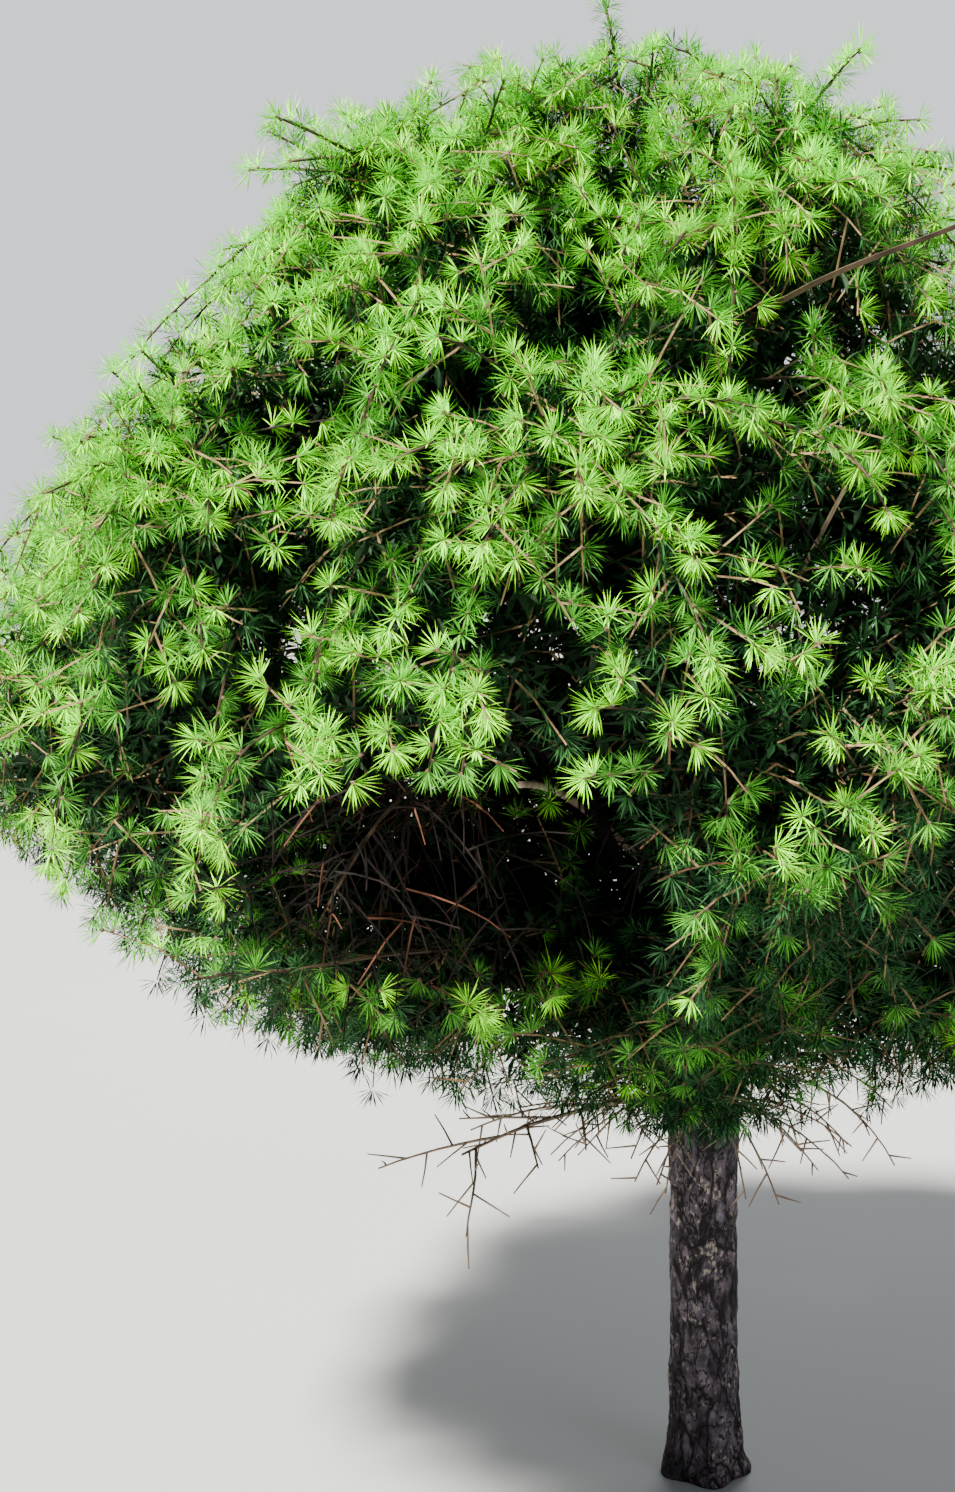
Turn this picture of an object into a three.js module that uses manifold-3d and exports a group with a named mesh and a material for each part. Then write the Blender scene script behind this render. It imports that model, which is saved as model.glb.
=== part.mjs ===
// A European larch grafted on a clear stem: the trunk runs up as a leader through a broad head of arching boughs.
// Millimetres, +Z up, with the origin at the flat cut under the trunk at ground level. The front of the tree faces -Y.

import * as THREE from "three";
import { mergeVertices } from "three/addons/utils/BufferGeometryUtils.js";
import Module from "manifold-3d";

// Driving dimensions of the trunk
const TRUNK_RADIUS = 40;
const LEADER_TOP = 1350;
const LEADER_TIP_RADIUS = 8;
const GRAFT_HEIGHT = 455;
const GRAFT_SWELL = 3.5;
const ROOT_FLARE = 0.34;
const FLARE_HEIGHT = 42;
const FLARE_LOBES = 5;
const TRUNK_LEAN = 0.016;
const LEADER_BOW = 60;

// Driving dimensions of the head: its waist is its widest height, and its outline draws in above and below that
const HEAD_TOP = 1665;
const HEAD_WAIST = 960;
const HEAD_FOOT = 430;
const HEAD_RADIUS = 715;
const HEAD_SHIFT = new THREE.Vector2(-130, -65);
const UPPER_POWERS = { across: 2.6, up: 1.1 };
const LOWER_POWERS = { across: 1.43, up: 1.4 };
const HEART_RADIUS = 140;

// A bare pocket under the front of the head, where no needles grow
const POCKET_CENTRE = new THREE.Vector3(-310, -430, 805);
const POCKET_SIZE = new THREE.Vector3(185, 380, 90);
const POCKET_AZIMUTH = (244 * Math.PI) / 180;

// Dead wood: a broken stub in the pocket, thin twigs at the graft, and a bare upright shoot on the front
const STUB_FORK = 740;
const STUB_TIP = new THREE.Vector3(-239, -300, 900);
const STUB_RADII = [8, 6];
const TWIGS_FORK = 482;
const TWIGS_AZIMUTH = 226;
const TWIGS_LENGTH = 400;
const TWIG_COUNT = 8;
const BARE_SHOOT_BOUGH = "lower_6";
const BARE_SHOOT_FOOT = new THREE.Vector3(-29, -455, 1016);
const BARE_SHOOT_TIP = new THREE.Vector3(35, -580, 1199);
const BARE_SHOOT_RADII = [3.6, 1.8];

// Sizes of live wood
const BOUGH_RADII = [11, 5];
const BOUGH_SIDES = 5;
const STEM_RADII = [5, 3];
const SHOOT_RADII = [3.4, 2.4];
const JOINT_GAP = 0.3;
const CLEARANCE = 2;
const STEP = 24;

// Shoots turn by a fixed angle from one to the next round a stem, and the sprays of needles sit along them
const SHOOTS_PER_STEM = 18;
const SHOWN_EVERY = 3;
const SHOOT_TURN = 100;
const SPRAY_SPACING = 52;
const SPRAY_WIDTH = 14;
const SPRAYS_SHOWN = 2;
const BARE_FOOT = 100;
const NEEDLE_LENGTH = 50;
const NEEDLE_REACH = 1.1;
const CORE_SHARES = [0.42, 0.62];
const CORE_SPRAYS = [100, 66, 40];

const BARK = new THREE.MeshStandardMaterial({ color: 0x6b5f5c, roughness: 0.95, metalness: 0 });
const BOUGH_BARK = new THREE.MeshStandardMaterial({ color: 0x6e5744, roughness: 0.9, metalness: 0 });
const NEEDLES = new THREE.MeshStandardMaterial({ color: 0x5f9a35, roughness: 0.6, metalness: 0 });
const DEAD_WOOD = new THREE.MeshStandardMaterial({ color: 0x8a6f55, roughness: 0.9, metalness: 0 });

const UP = new THREE.Vector3(0, 0, 1);
const { lerp, clamp, smoothstep, degToRad } = THREE.MathUtils;

// Tiers of foliage from the top down. A mass's middle stands at `height`, at `reach` of the head's radius there.
// A tier is `tilt` higher over the pocket and as much lower on the other side.
// A bough leaves the trunk in the range `forks` and ends at `bough` of the head's radius; the top has the leader instead.
// Shoots run to about `spread`, set out upwards by `climb` and bend down by `sag` at each step.
const TIERS = [
  { name: "top", count: 1, first: 0, height: 1520, tilt: 0, reach: 0.15, spread: 240, climb: 1, sag: 0 },
  {
    name: "upper",
    count: 5,
    first: 18,
    height: 1470,
    tilt: 0,
    reach: 0.68,
    forks: [1010, 1180],
    bough: 0.36,
    spread: 240,
    climb: 0.9,
    sag: 0.04,
  },
  {
    name: "middle",
    count: 7,
    first: 12,
    height: 1185,
    tilt: 15,
    reach: 0.72,
    forks: [730, 930],
    bough: 0.4,
    spread: 230,
    climb: 0.45,
    sag: 0.08,
  },
  {
    name: "lower",
    count: 7,
    first: 38,
    height: 925,
    tilt: 45,
    reach: 0.72,
    forks: [540, 670],
    bough: 0.4,
    spread: 220,
    climb: 0.15,
    sag: 0.12,
  },
  {
    name: "skirt",
    count: 5,
    first: 50,
    height: 632,
    tilt: 0,
    reach: 0.8,
    forks: [485, 525],
    bough: 0.42,
    spread: 190,
    climb: 0.1,
    sag: 0.11,
  },
];

// A stream of random numbers that is the same on every run
function randomStream(seed) {
  let state = seed >>> 0;
  return () => {
    state = (state + 0x6d2b79f5) >>> 0;
    let mixed = Math.imul(state ^ (state >>> 15), 1 | state);
    mixed = (mixed + Math.imul(mixed ^ (mixed >>> 7), 61 | mixed)) ^ mixed;
    return ((mixed ^ (mixed >>> 14)) >>> 0) / 4294967296;
  };
}

const outward = (azimuth) => new THREE.Vector3(Math.cos(azimuth), Math.sin(azimuth), 0);

// The trunk's centre at a height: a slight lean, then a bow and a sway of the leader inside the head
function trunkAxis(z) {
  const bow = LEADER_BOW * smoothstep(z, GRAFT_HEIGHT, LEADER_TOP);
  const sway = 9 * Math.sin(z / 150) * smoothstep(z, GRAFT_HEIGHT, GRAFT_HEIGHT + 300);
  return new THREE.Vector3(-TRUNK_LEAN * z - bow + sway, -0.4 * bow - 1.2 * sway, z);
}

// The trunk's radius: a root flare, an even clear stem, the graft's swelling, and a leader that tapers to its tip
function trunkRadius(z) {
  const leader = Math.max(0, (z - GRAFT_HEIGHT) / (LEADER_TOP - GRAFT_HEIGHT));
  const even = lerp(TRUNK_RADIUS, LEADER_TIP_RADIUS, Math.pow(leader, 0.8));
  const flare = 1 + ROOT_FLARE * Math.exp(-z / FLARE_HEIGHT);
  return even * flare + GRAFT_SWELL * Math.exp(-(((z - GRAFT_HEIGHT) / 38) ** 2));
}

// The middle of the head at a height, which stands off the trunk's foot to the left and front
function headAxis(z) {
  const share = smoothstep(z, HEAD_FOOT, HEAD_WAIST);
  return new THREE.Vector3(HEAD_SHIFT.x * share, HEAD_SHIFT.y * share, z);
}

// The outline's radius at the waist, with a bulge to the left and three shallow lobes
function waistRadius(azimuth) {
  return HEAD_RADIUS * (1 + 0.08 * Math.cos(azimuth - degToRad(185)) + 0.02 * Math.cos(3 * azimuth + degToRad(40)));
}

// How far up or down a height lies from the waist, as a share of the way to the head's top or foot
function headRise(z) {
  const up = z >= HEAD_WAIST;
  const share = up ? (z - HEAD_WAIST) / (HEAD_TOP - HEAD_WAIST) : (HEAD_WAIST - z) / (HEAD_WAIST - HEAD_FOOT);
  return { share, powers: up ? UPPER_POWERS : LOWER_POWERS };
}

// How far out a point lies in the head: 0 at its heart and 1 on its outline
function headLevel(point) {
  const from = point.clone().sub(headAxis(point.z));
  const across = Math.hypot(from.x, from.y) / waistRadius(Math.atan2(from.y, from.x));
  const { share, powers } = headRise(point.z);
  return Math.pow(across, powers.across) + Math.pow(share, powers.up);
}

// The point of the head at an azimuth, a height and a share of the outline's radius there
function headPoint(azimuth, z, reach) {
  const { share, powers } = headRise(z);
  const radius = waistRadius(azimuth) * Math.pow(Math.max(0, 1 - Math.pow(share, powers.up)), 1 / powers.across);
  return headAxis(z).addScaledVector(outward(azimuth), radius * reach);
}

const inPocket = (point) => point.clone().sub(POCKET_CENTRE).divide(POCKET_SIZE).lengthSq() < 1;

// The masses of foliage in plan: each has a middle, and its space is all that lies nearer to it than to the others
function planMasses() {
  return TIERS.flatMap((tier, row) =>
    Array.from({ length: tier.count }, (_, i) => {
      const random = randomStream(1000 * (row + 1) + 17 * i);
      const loose = tier.count > 1 ? 1 : 0;
      const azimuth = degToRad(tier.first + (360 * i) / tier.count + loose * 10 * (random() - 0.5));
      const tilt = tier.tilt * Math.cos(azimuth - POCKET_AZIMUTH);
      const height = tier.height + tilt + loose * 60 * (random() - 0.5);
      return {
        tier,
        azimuth,
        seed: 100000 * (row + 1) + 1000 * i,
        name: loose ? `${tier.name}_${i + 1}` : tier.name,
        centre: headPoint(azimuth, height, tier.reach),
        fork: tier.forks && lerp(...tier.forks, (i * 0.618 + 0.2) % 1),
      };
    }),
  );
}

// The walls of a mass's space stand half-way to each of its neighbours
function wallsAround(mass, masses) {
  return masses
    .filter((other) => other !== mass)
    .map((other) => ({
      middle: other.centre.clone().lerp(mass.centre, 0.5),
      normal: other.centre.clone().sub(mass.centre).normalize(),
    }));
}

// Wood along a path: a centre and a radius at each of its stations
function woodAlong(points, [root, tip]) {
  return points.map((point, i) => ({ point, radius: lerp(root, tip, i / (points.length - 1)) }));
}

// A limb that climbs out of the trunk, arches over and runs out to its tip
function archedLimb(fork, tip, climb, radii) {
  const root = trunkAxis(fork);
  const away = tip.clone().sub(root).setZ(0).normalize();
  const length = tip.distanceTo(root);
  const arch = new THREE.CubicBezierCurve3(
    root,
    root.clone().addScaledVector(away, 0.3 * length).addScaledVector(UP, 0.3 * length * climb),
    tip.clone().addScaledVector(away, -0.33 * length).addScaledVector(UP, -0.1 * length * climb),
    tip,
  );
  return woodAlong(arch.getSpacedPoints(5), radii);
}

const gapTo = (mass, point) => mass.centre.distanceTo(point);

// The least distance between two straight pieces
function gapBetween(a, b, c, d) {
  const u = b.clone().sub(a);
  const v = d.clone().sub(c);
  const w = a.clone().sub(c);
  const [uu, uv, vv, uw, vw] = [u.dot(u), u.dot(v), v.dot(v), u.dot(w), v.dot(w)];
  const cross = uu * vv - uv * uv;
  const first = cross > 1e-9 ? clamp((uv * vw - vv * uw) / cross, 0, 1) : 0;
  const t = clamp((uv * first + vw) / vv, 0, 1);
  const s = clamp((uv * t - uw) / uu, 0, 1);
  return w.addScaledVector(u, s).addScaledVector(v, -t).length();
}

// Whether a straight piece of a given thickness comes within the clearance of a limb
function touchesLimb(from, to, thickness, limbs) {
  return limbs.some((limb) =>
    limb.slice(1).some((end, i) => {
      const room = limb[i].radius + thickness + CLEARANCE;
      return gapBetween(from, to, limb[i].point, end.point) < room;
    }),
  );
}

// Whether a point lies between the walls of a mass's space and inside the head's outline, out of its shady heart
function inSpace(mass, point, margin, most = 1) {
  if (mass.walls.some(({ middle, normal }) => normal.dot(point.clone().sub(middle)) > -margin)) return false;
  if (mass.tier.forks && point.clone().sub(headAxis(point.z)).length() < HEART_RADIUS) return false;
  return headLevel(point) < most;
}

// A shoot sets out along a heading, wanders, sags as it lengthens, and ends where its next step isn't free
function growShoot(start, heading, length, sag, random, free) {
  const points = [start.clone()];
  const way = heading.clone().normalize();
  const steps = Math.max(2, Math.round(length / STEP));
  for (let i = 0; i < steps; i++) {
    way.x += 0.14 * (random() - 0.5);
    way.y += 0.14 * (random() - 0.5);
    way.z += 0.1 * (random() - 0.5) - sag;
    way.normalize();
    const next = points[i].clone().addScaledVector(way, length / steps);
    if (!free(points[i], next)) break;
    points.push(next);
  }
  return points;
}

// The point and heading at a share of the way along a path
function alongPath(points, share) {
  const place = share * (points.length - 1);
  const i = Math.min(points.length - 2, Math.floor(place));
  const heading = points[i + 1].clone().sub(points[i]).normalize();
  return { point: points[i].clone().lerp(points[i + 1], place - i), heading };
}

// The stem of a mass goes on from its bough's tip or out of the trunk, and arches through the mass's middle
function growStem(mass, free) {
  const aim = mass.centre.clone().sub(mass.start).normalize().lerp(mass.heading, 0.4);
  aim.z += 0.3 * mass.tier.climb;
  const length = mass.start.distanceTo(mass.centre) + mass.tier.spread;
  return growShoot(mass.start, aim, length, 0.5 * mass.tier.sag, randomStream(mass.seed), free);
}

// Shoot number i of a mass branches from the stem, turned round it from the one before
function growSide(mass, i, free) {
  const random = randomStream(mass.seed + i + 1);
  const share = 0.16 + (0.82 * (i + 0.5)) / SHOOTS_PER_STEM;
  const { point, heading } = alongPath(mass.stem, share);
  const side = new THREE.Vector3().crossVectors(heading, UP).normalize();
  const roll = degToRad(i * SHOOT_TURN) + random();
  const way = side.applyAxisAngle(heading, roll).addScaledVector(heading, 0.3 + 0.4 * share);
  way.z += 0.6 * mass.tier.climb;
  const length = mass.tier.spread * (0.8 + 0.45 * random());
  return growShoot(point, way, length, mass.tier.sag, random, free);
}

// Merges a geometry down to shared positions, as a closed body needs
function onlyPositions(geometry) {
  geometry.deleteAttribute("normal");
  geometry.deleteAttribute("uv");
  return mergeVertices(geometry, 1e-4);
}

// Side directions that follow a path without twisting about it; the path's first heading may be given
function framesAlong(stations, firstHeading) {
  let side = null;
  return stations.map(({ point }, i) => {
    const before = stations[Math.max(0, i - 1)].point;
    const after = stations[Math.min(stations.length - 1, i + 1)].point;
    const heading = i === 0 && firstHeading ? firstHeading : after.clone().sub(before).normalize();
    side ??= Math.abs(heading.z) > 0.9 ? new THREE.Vector3(1, 0, 0) : UP;
    side = side.clone().addScaledVector(heading, -side.dot(heading)).normalize();
    return { point, heading, side, other: new THREE.Vector3().crossVectors(side, heading) };
  });
}

// A closed tube with a ring of `sides` corners at each station; `shape` may swell a corner by its angle and height
function tube(stations, sides, { shape = () => 1, firstHeading = null } = {}) {
  const rings = stations.length - 1;
  const geometry = onlyPositions(new THREE.CylinderGeometry(1, 1, 1, sides, rings));
  const frames = framesAlong(stations, firstHeading);
  const corners = geometry.getAttribute("position");
  for (let i = 0; i < corners.count; i++) {
    const ring = Math.round((corners.getY(i) + 0.5) * rings);
    const { point, side, other } = frames[ring];
    const radius = stations[ring].radius * shape(Math.atan2(corners.getZ(i), corners.getX(i)), point.z);
    const place = point.clone().addScaledVector(side, corners.getX(i) * radius);
    place.addScaledVector(other, corners.getZ(i) * radius);
    corners.setXYZ(i, place.x, place.y, place.z);
  }
  return geometry;
}

// Raises needles out of a body: a face for which `tipOf` gives a point becomes three faces that meet there
function raiseNeedles(geometry, tipOf) {
  const corners = geometry.getAttribute("position");
  const places = Array.from(corners.array);
  const faces = [];
  for (let i = 0; i < geometry.index.count; i += 3) {
    const [a, b, c] = [0, 1, 2].map((k) => geometry.index.getX(i + k));
    const middle = new THREE.Vector3();
    [a, b, c].forEach((corner) => middle.add(new THREE.Vector3().fromBufferAttribute(corners, corner)));
    const tip = tipOf(middle.divideScalar(3));
    if (tip) {
      const added = places.length / 3;
      places.push(tip.x, tip.y, tip.z);
      faces.push(a, b, added, b, c, added, c, a, added);
    } else {
      faces.push(a, b, c);
    }
  }
  const raised = new THREE.BufferGeometry();
  raised.setAttribute("position", new THREE.Float32BufferAttribute(places, 3));
  return raised.setIndex(faces);
}

// Stations of a needled shoot: its foot, then short lengths that carry a spray, with bare lengths between them
function sprayStations(points, [rootRadius, tipRadius], bareFoot, most) {
  const curve = new THREE.CatmullRomCurve3(points);
  const length = curve.getLength();
  const sprays = clamp(Math.floor((length - bareFoot) / SPRAY_SPACING) + 1, 1, most);
  const marks = [0];
  for (let k = sprays - 1; k >= 0; k--) {
    const end = length - k * SPRAY_SPACING;
    marks.push(end - SPRAY_WIDTH, end);
  }
  const radius = (mark) => lerp(rootRadius, tipRadius, mark / length);
  return marks.map((mark) => ({ point: curve.getPointAt(clamp(mark / length, 0, 1)), radius: radius(mark) }));
}

// The tip of the needle that stands on a face of a spray, or null on a face between the sprays
function sprayNeedle(middle, frames) {
  for (let k = 1; k < frames.length; k += 2) {
    const [before, after] = [frames[k], frames[k + 1]];
    const width = before.point.distanceTo(after.point);
    const along = after.point.clone().sub(before.point).divideScalar(width);
    const share = middle.clone().sub(before.point).dot(along) / width;
    const axis = before.point.clone().addScaledVector(along, share * width);
    const out = middle.clone().sub(axis);
    const forward = share > 0.5 && share < 0.9;
    const backward = share > 0.1 && share < 0.5 && k === frames.length - 2;
    if ((forward || backward) && out.length() < 2 * SPRAY_WIDTH) {
      const way = out.normalize().addScaledVector(along, forward ? 0.75 : -0.25).normalize();
      return { axis, tip: axis.clone().addScaledVector(way, NEEDLE_LENGTH) };
    }
  }
  return null;
}

// A shoot with its sprays: three needles on each short length, six on the last, and one more where the shoot ends
function needledShoot(points, radii, allowed, { bareFoot = BARE_FOOT, most = SPRAYS_SHOWN, firstHeading = null } = {}) {
  const stations = sprayStations(points, radii, bareFoot, most);
  const frames = framesAlong(stations, firstHeading);
  const shoot = raiseNeedles(tube(stations, 3, { firstHeading }), (middle) => {
    const needle = sprayNeedle(middle, frames);
    return needle && allowed(needle.axis, needle.tip) ? needle.tip : null;
  });
  const { point, heading } = frames[frames.length - 1];
  const end = point.clone().addScaledVector(heading, 0.7 * NEEDLE_LENGTH);
  return allowed(point, end) ? pointed(shoot, point, end) : shoot;
}

// Draws the corner at one point of a geometry out to another
function pointed(geometry, from, to) {
  const corners = geometry.getAttribute("position");
  for (let i = 0; i < corners.count; i++) {
    const corner = new THREE.Vector3().fromBufferAttribute(corners, i);
    if (corner.distanceTo(from) < 1e-2) corners.setXYZ(i, to.x, to.y, to.z);
  }
  return geometry;
}

// How far a mass's space reaches from its heart along a direction
function spaceReach(mass, direction) {
  const step = 8;
  let along = step;
  const place = () => mass.heart.clone().addScaledVector(direction, along);
  while (along < 320 && inSpace(mass, place(), CLEARANCE, 0.96) && !inPocket(place())) along += step;
  return along;
}

// The dense heart of a mass: a lumpy body well inside its space that bristles with sprays, the longest that fit
function massCore(mass, limbs) {
  const random = randomStream(mass.seed + 900);
  const core = onlyPositions(new THREE.OctahedronGeometry(1, 1));
  const corners = core.getAttribute("position");
  for (let i = 0; i < corners.count; i++) {
    const direction = new THREE.Vector3().fromBufferAttribute(corners, i).normalize();
    const reach = lerp(...CORE_SHARES, random()) * spaceReach(mass, direction);
    const place = mass.heart.clone().addScaledVector(direction, reach);
    corners.setXYZ(i, place.x, place.y, place.z);
  }
  return raiseNeedles(core, (middle) => {
    const way = middle.clone().sub(mass.heart).normalize();
    const tips = CORE_SPRAYS.map((length) => middle.clone().addScaledVector(way, length * (0.8 + 0.4 * random())));
    const fits = (tip) => inSpace(mass, tip, CLEARANCE) && !inPocket(tip) && !touchesLimb(middle, tip, 0, limbs);
    return tips.find(fits);
  });
}

// Joins and cuts, with the results as geometries again
const wasm = await Module();
wasm.setup();

function toSolid(geometry) {
  const merged = mergeVertices(geometry, 1e-3);
  const vertProperties = new Float32Array(merged.getAttribute("position").array);
  return new wasm.Manifold(new wasm.Mesh({ numProp: 3, vertProperties, triVerts: new Uint32Array(merged.index.array) }));
}

// The largest piece of a solid, without loose scraps and with sealed hollows filled
function toGeometry(solid) {
  const largest = solid.decompose().reduce((best, piece) => (piece.volume() > best.volume() ? piece : best));
  const mesh = largest.getMesh();
  const geometry = new THREE.BufferGeometry();
  geometry.setAttribute("position", new THREE.BufferAttribute(mesh.vertProperties, 3));
  return geometry.setIndex(new THREE.BufferAttribute(mesh.triVerts, 1));
}

const joined = (solids) => solids.reduce((all, solid) => all.add(solid));

function namedMesh(name, geometry, material) {
  const mesh = new THREE.Mesh(geometry, material);
  mesh.name = name;
  return mesh;
}

// The trunk is nearly round, and swells into root lobes near the ground
function trunkTube(extra) {
  const heights = Array.from({ length: 20 }, (_, i) => LEADER_TOP * Math.pow(i / 19, 1.35));
  const stations = heights.map((z) => ({ point: trunkAxis(z), radius: trunkRadius(z) + extra }));
  const rootLobes = (angle, z) => 1 + 0.1 * Math.exp(-z / FLARE_HEIGHT) * Math.cos(FLARE_LOBES * angle + 1);
  return tube(stations, 12, { shape: rootLobes, firstHeading: UP });
}

// The room that a limb takes up, with some extra on its radius
function roomAround(wood, extra) {
  return toSolid(tube(wood.map(({ point, radius }) => ({ point, radius: radius + extra })), BOUGH_SIDES));
}

// A limb's own solid, cut back to leave a hair's gap to what carries it
function limbMesh(name, wood, sides, carrierRoom, material) {
  return namedMesh(name, toGeometry(toSolid(tube(wood, sides)).subtract(carrierRoom)), material);
}

// Dead twigs by the graft: a thin limb and its side twigs, as paths of wood
function growDeadTwigs(limbs) {
  const random = randomStream(77);
  const heading = outward(degToRad(TWIGS_AZIMUTH)).addScaledVector(UP, 0.2);
  const main = growShoot(trunkAxis(TWIGS_FORK), heading, TWIGS_LENGTH, 0.012, random, () => true);
  const twigs = [woodAlong(main, [5, 2.4])];
  for (let i = 0; i < TWIG_COUNT; i++) {
    const share = 0.3 + (0.65 * i) / (TWIG_COUNT - 1);
    const { point, heading: along } = alongPath(main, share);
    const way = along.clone().applyAxisAngle(UP, (i % 2 ? 1 : -1) * (0.6 + 0.6 * random()));
    way.z += 0.3 * (random() - 0.5);
    const twig = growShoot(point, way, 90 + 90 * random(), 0.03, random, (from, to) => !touchesLimb(from, to, 3, limbs));
    if (twig.length > 2) twigs.push(woodAlong(twig, [2.2, 1.6]));
  }
  return twigs;
}

// A mass of foliage: its stem, its side shoots with their sprays, and its dense heart, all in one body
function foliageMesh(mass, limbs, trunkRoom, limbRoom) {
  const clear = (from, to, thickness, most) =>
    inSpace(mass, to, CLEARANCE + thickness, most) && !touchesLimb(from, to, thickness, limbs);
  const needleFree = (from, to) => clear(from, to, 1, mass.tall ? 1.3 : NEEDLE_REACH) && !inPocket(to);
  const stemOptions = { bareFoot: 0.5 * mass.stemLength, firstHeading: mass.heading };
  const parts = [toSolid(needledShoot(mass.stem, STEM_RADII, needleFree, stemOptions))];
  parts.push(toSolid(massCore(mass, limbs)).subtract(limbRoom));
  for (let i = 0; i < SHOOTS_PER_STEM; i += SHOWN_EVERY) {
    const shoot = growSide(mass, i, (from, to) => clear(from, to, SHOOT_RADII[0], 1));
    if (shoot.length > 3) parts.push(toSolid(needledShoot(shoot, SHOOT_RADII, needleFree)));
  }
  return namedMesh(`foliage_${mass.name}`, toGeometry(joined(parts).subtract(trunkRoom)), NEEDLES);
}

// Sets where a mass's stem begins: at its bough's tip or at the leader's tip
function seatStem(mass, trunk) {
  const [before, tip] = (mass.wood || trunk).slice(-2).map(({ point }) => point);
  mass.heading = tip.clone().sub(before).normalize();
  mass.start = tip.clone().addScaledVector(mass.heading, JOINT_GAP);
}

function buildTree() {
  const masses = planMasses();
  const boughs = masses.filter((mass) => mass.tier.forks);
  for (const mass of boughs) {
    const tip = headPoint(mass.azimuth, mass.centre.z - 10, mass.tier.bough);
    mass.wood = archedLimb(mass.fork, tip, mass.tier.climb, BOUGH_RADII);
  }
  const stub = archedLimb(STUB_FORK, STUB_TIP, 0.2, STUB_RADII);
  const heights = Array.from({ length: 15 }, (_, i) => (LEADER_TOP * i) / 14);
  const trunk = heights.map((z) => ({ point: trunkAxis(z), radius: trunkRadius(z) }));
  const carrier = boughs.find((mass) => mass.name === BARE_SHOOT_BOUGH).wood;
  const bareRoute = new THREE.CatmullRomCurve3([carrier[3].point, BARE_SHOOT_FOOT, BARE_SHOOT_TIP]);
  const bareShoot = woodAlong(bareRoute.getSpacedPoints(5), BARE_SHOOT_RADII);
  const sound = [trunk, stub, bareShoot, ...boughs.map((mass) => mass.wood)];
  const deadTwigs = growDeadTwigs(sound);
  const limbs = [...sound, ...deadTwigs];
  const trunkRoom = toSolid(trunkTube(JOINT_GAP));
  const limbRoom = joined([trunkRoom, ...limbs.slice(1).map((wood) => roomAround(wood, CLEARANCE))]);

  const tree = new THREE.Group();
  tree.add(namedMesh("trunk", trunkTube(0), BARK));
  boughs.forEach((mass) => tree.add(limbMesh(`bough_${mass.name}`, mass.wood, BOUGH_SIDES, trunkRoom, BOUGH_BARK)));
  tree.add(limbMesh("dead_stub", stub, BOUGH_SIDES, trunkRoom, DEAD_WOOD));
  tree.add(limbMesh("dead_shoot", bareShoot, 4, roomAround(carrier, JOINT_GAP), DEAD_WOOD));
  const twigSolid = joined(deadTwigs.map((wood) => toSolid(tube(wood, 4)))).subtract(trunkRoom);
  tree.add(namedMesh("dead_twigs", toGeometry(twigSolid), DEAD_WOOD));
  for (const mass of masses) {
    seatStem(mass, trunk);
    mass.walls = wallsAround(mass, masses);
    mass.tall = mass.tier.climb > 0.8;
    const others = limbs.filter((limb) => limb !== (mass.wood || trunk));
    const most = mass.tall ? 1.15 : 1;
    const bare = 0.5 * mass.start.distanceTo(mass.centre);
    const within = (to) => to.distanceTo(mass.start) < bare || inSpace(mass, to, STEM_RADII[0], most);
    mass.stem = growStem(mass, (from, to) => within(to) && !touchesLimb(from, to, STEM_RADII[0], others));
    mass.heart = mass.stem.reduce((best, point) => (gapTo(mass, point) < gapTo(mass, best) ? point : best));
    mass.stemLength = new THREE.CatmullRomCurve3(mass.stem).getLength();
    tree.add(foliageMesh(mass, limbs, trunkRoom, limbRoom));
  }
  return tree;
}

export default buildTree();
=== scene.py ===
# A European larch grafted on a clear stem: its bark, boughs, twigs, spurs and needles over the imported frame.
# Metres, +Z up, with the origin at the flat cut under the trunk. The front of the tree faces -Y.

import math
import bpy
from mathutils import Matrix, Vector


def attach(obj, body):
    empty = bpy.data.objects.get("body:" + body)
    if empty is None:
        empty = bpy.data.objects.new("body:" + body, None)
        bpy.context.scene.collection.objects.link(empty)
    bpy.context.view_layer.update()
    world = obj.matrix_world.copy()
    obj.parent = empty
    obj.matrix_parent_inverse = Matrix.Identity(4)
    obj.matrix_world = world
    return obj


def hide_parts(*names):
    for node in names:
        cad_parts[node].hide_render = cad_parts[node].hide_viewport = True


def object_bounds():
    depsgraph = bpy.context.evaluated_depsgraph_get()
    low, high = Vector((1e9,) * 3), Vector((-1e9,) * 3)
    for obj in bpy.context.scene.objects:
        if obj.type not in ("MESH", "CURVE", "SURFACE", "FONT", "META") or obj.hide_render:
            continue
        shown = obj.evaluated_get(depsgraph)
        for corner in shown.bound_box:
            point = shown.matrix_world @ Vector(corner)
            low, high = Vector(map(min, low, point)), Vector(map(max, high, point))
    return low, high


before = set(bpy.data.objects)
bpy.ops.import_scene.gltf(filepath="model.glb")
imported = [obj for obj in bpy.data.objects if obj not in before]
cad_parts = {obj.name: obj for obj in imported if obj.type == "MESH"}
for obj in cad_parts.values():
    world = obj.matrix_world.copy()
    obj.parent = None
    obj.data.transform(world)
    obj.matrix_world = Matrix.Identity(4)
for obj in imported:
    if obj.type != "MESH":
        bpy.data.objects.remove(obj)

from types import SimpleNamespace

import bpy
import numpy as np
from bpy.props import FloatProperty, FloatVectorProperty, IntProperty, PointerProperty
from mathutils import Matrix, Vector

FRAME_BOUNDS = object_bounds()

bl_info = {
    "name": "Grafted larch",
    "version": (1, 0, 0),
    "blender": (4, 5, 0),
    "location": "3D View > Sidebar > Larch",
    "description": "Grows the bark, boughs, twigs and needles of a grafted larch over its frame",
    "category": "Add Mesh",
}

UP = Vector((0, 0, 1))
MASK = 0xFFFFFFFF
GOLDEN_ANGLE = math.pi * (3 - math.sqrt(5))

# The range of a random turn: a full turn in radians, rounded down
FULL_TURN = 6.28

# Curved paths are measured in this many short steps. Straight pieces count as parallel under this value.
PATH_STEPS = 200
PARALLEL = 1e-18


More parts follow.
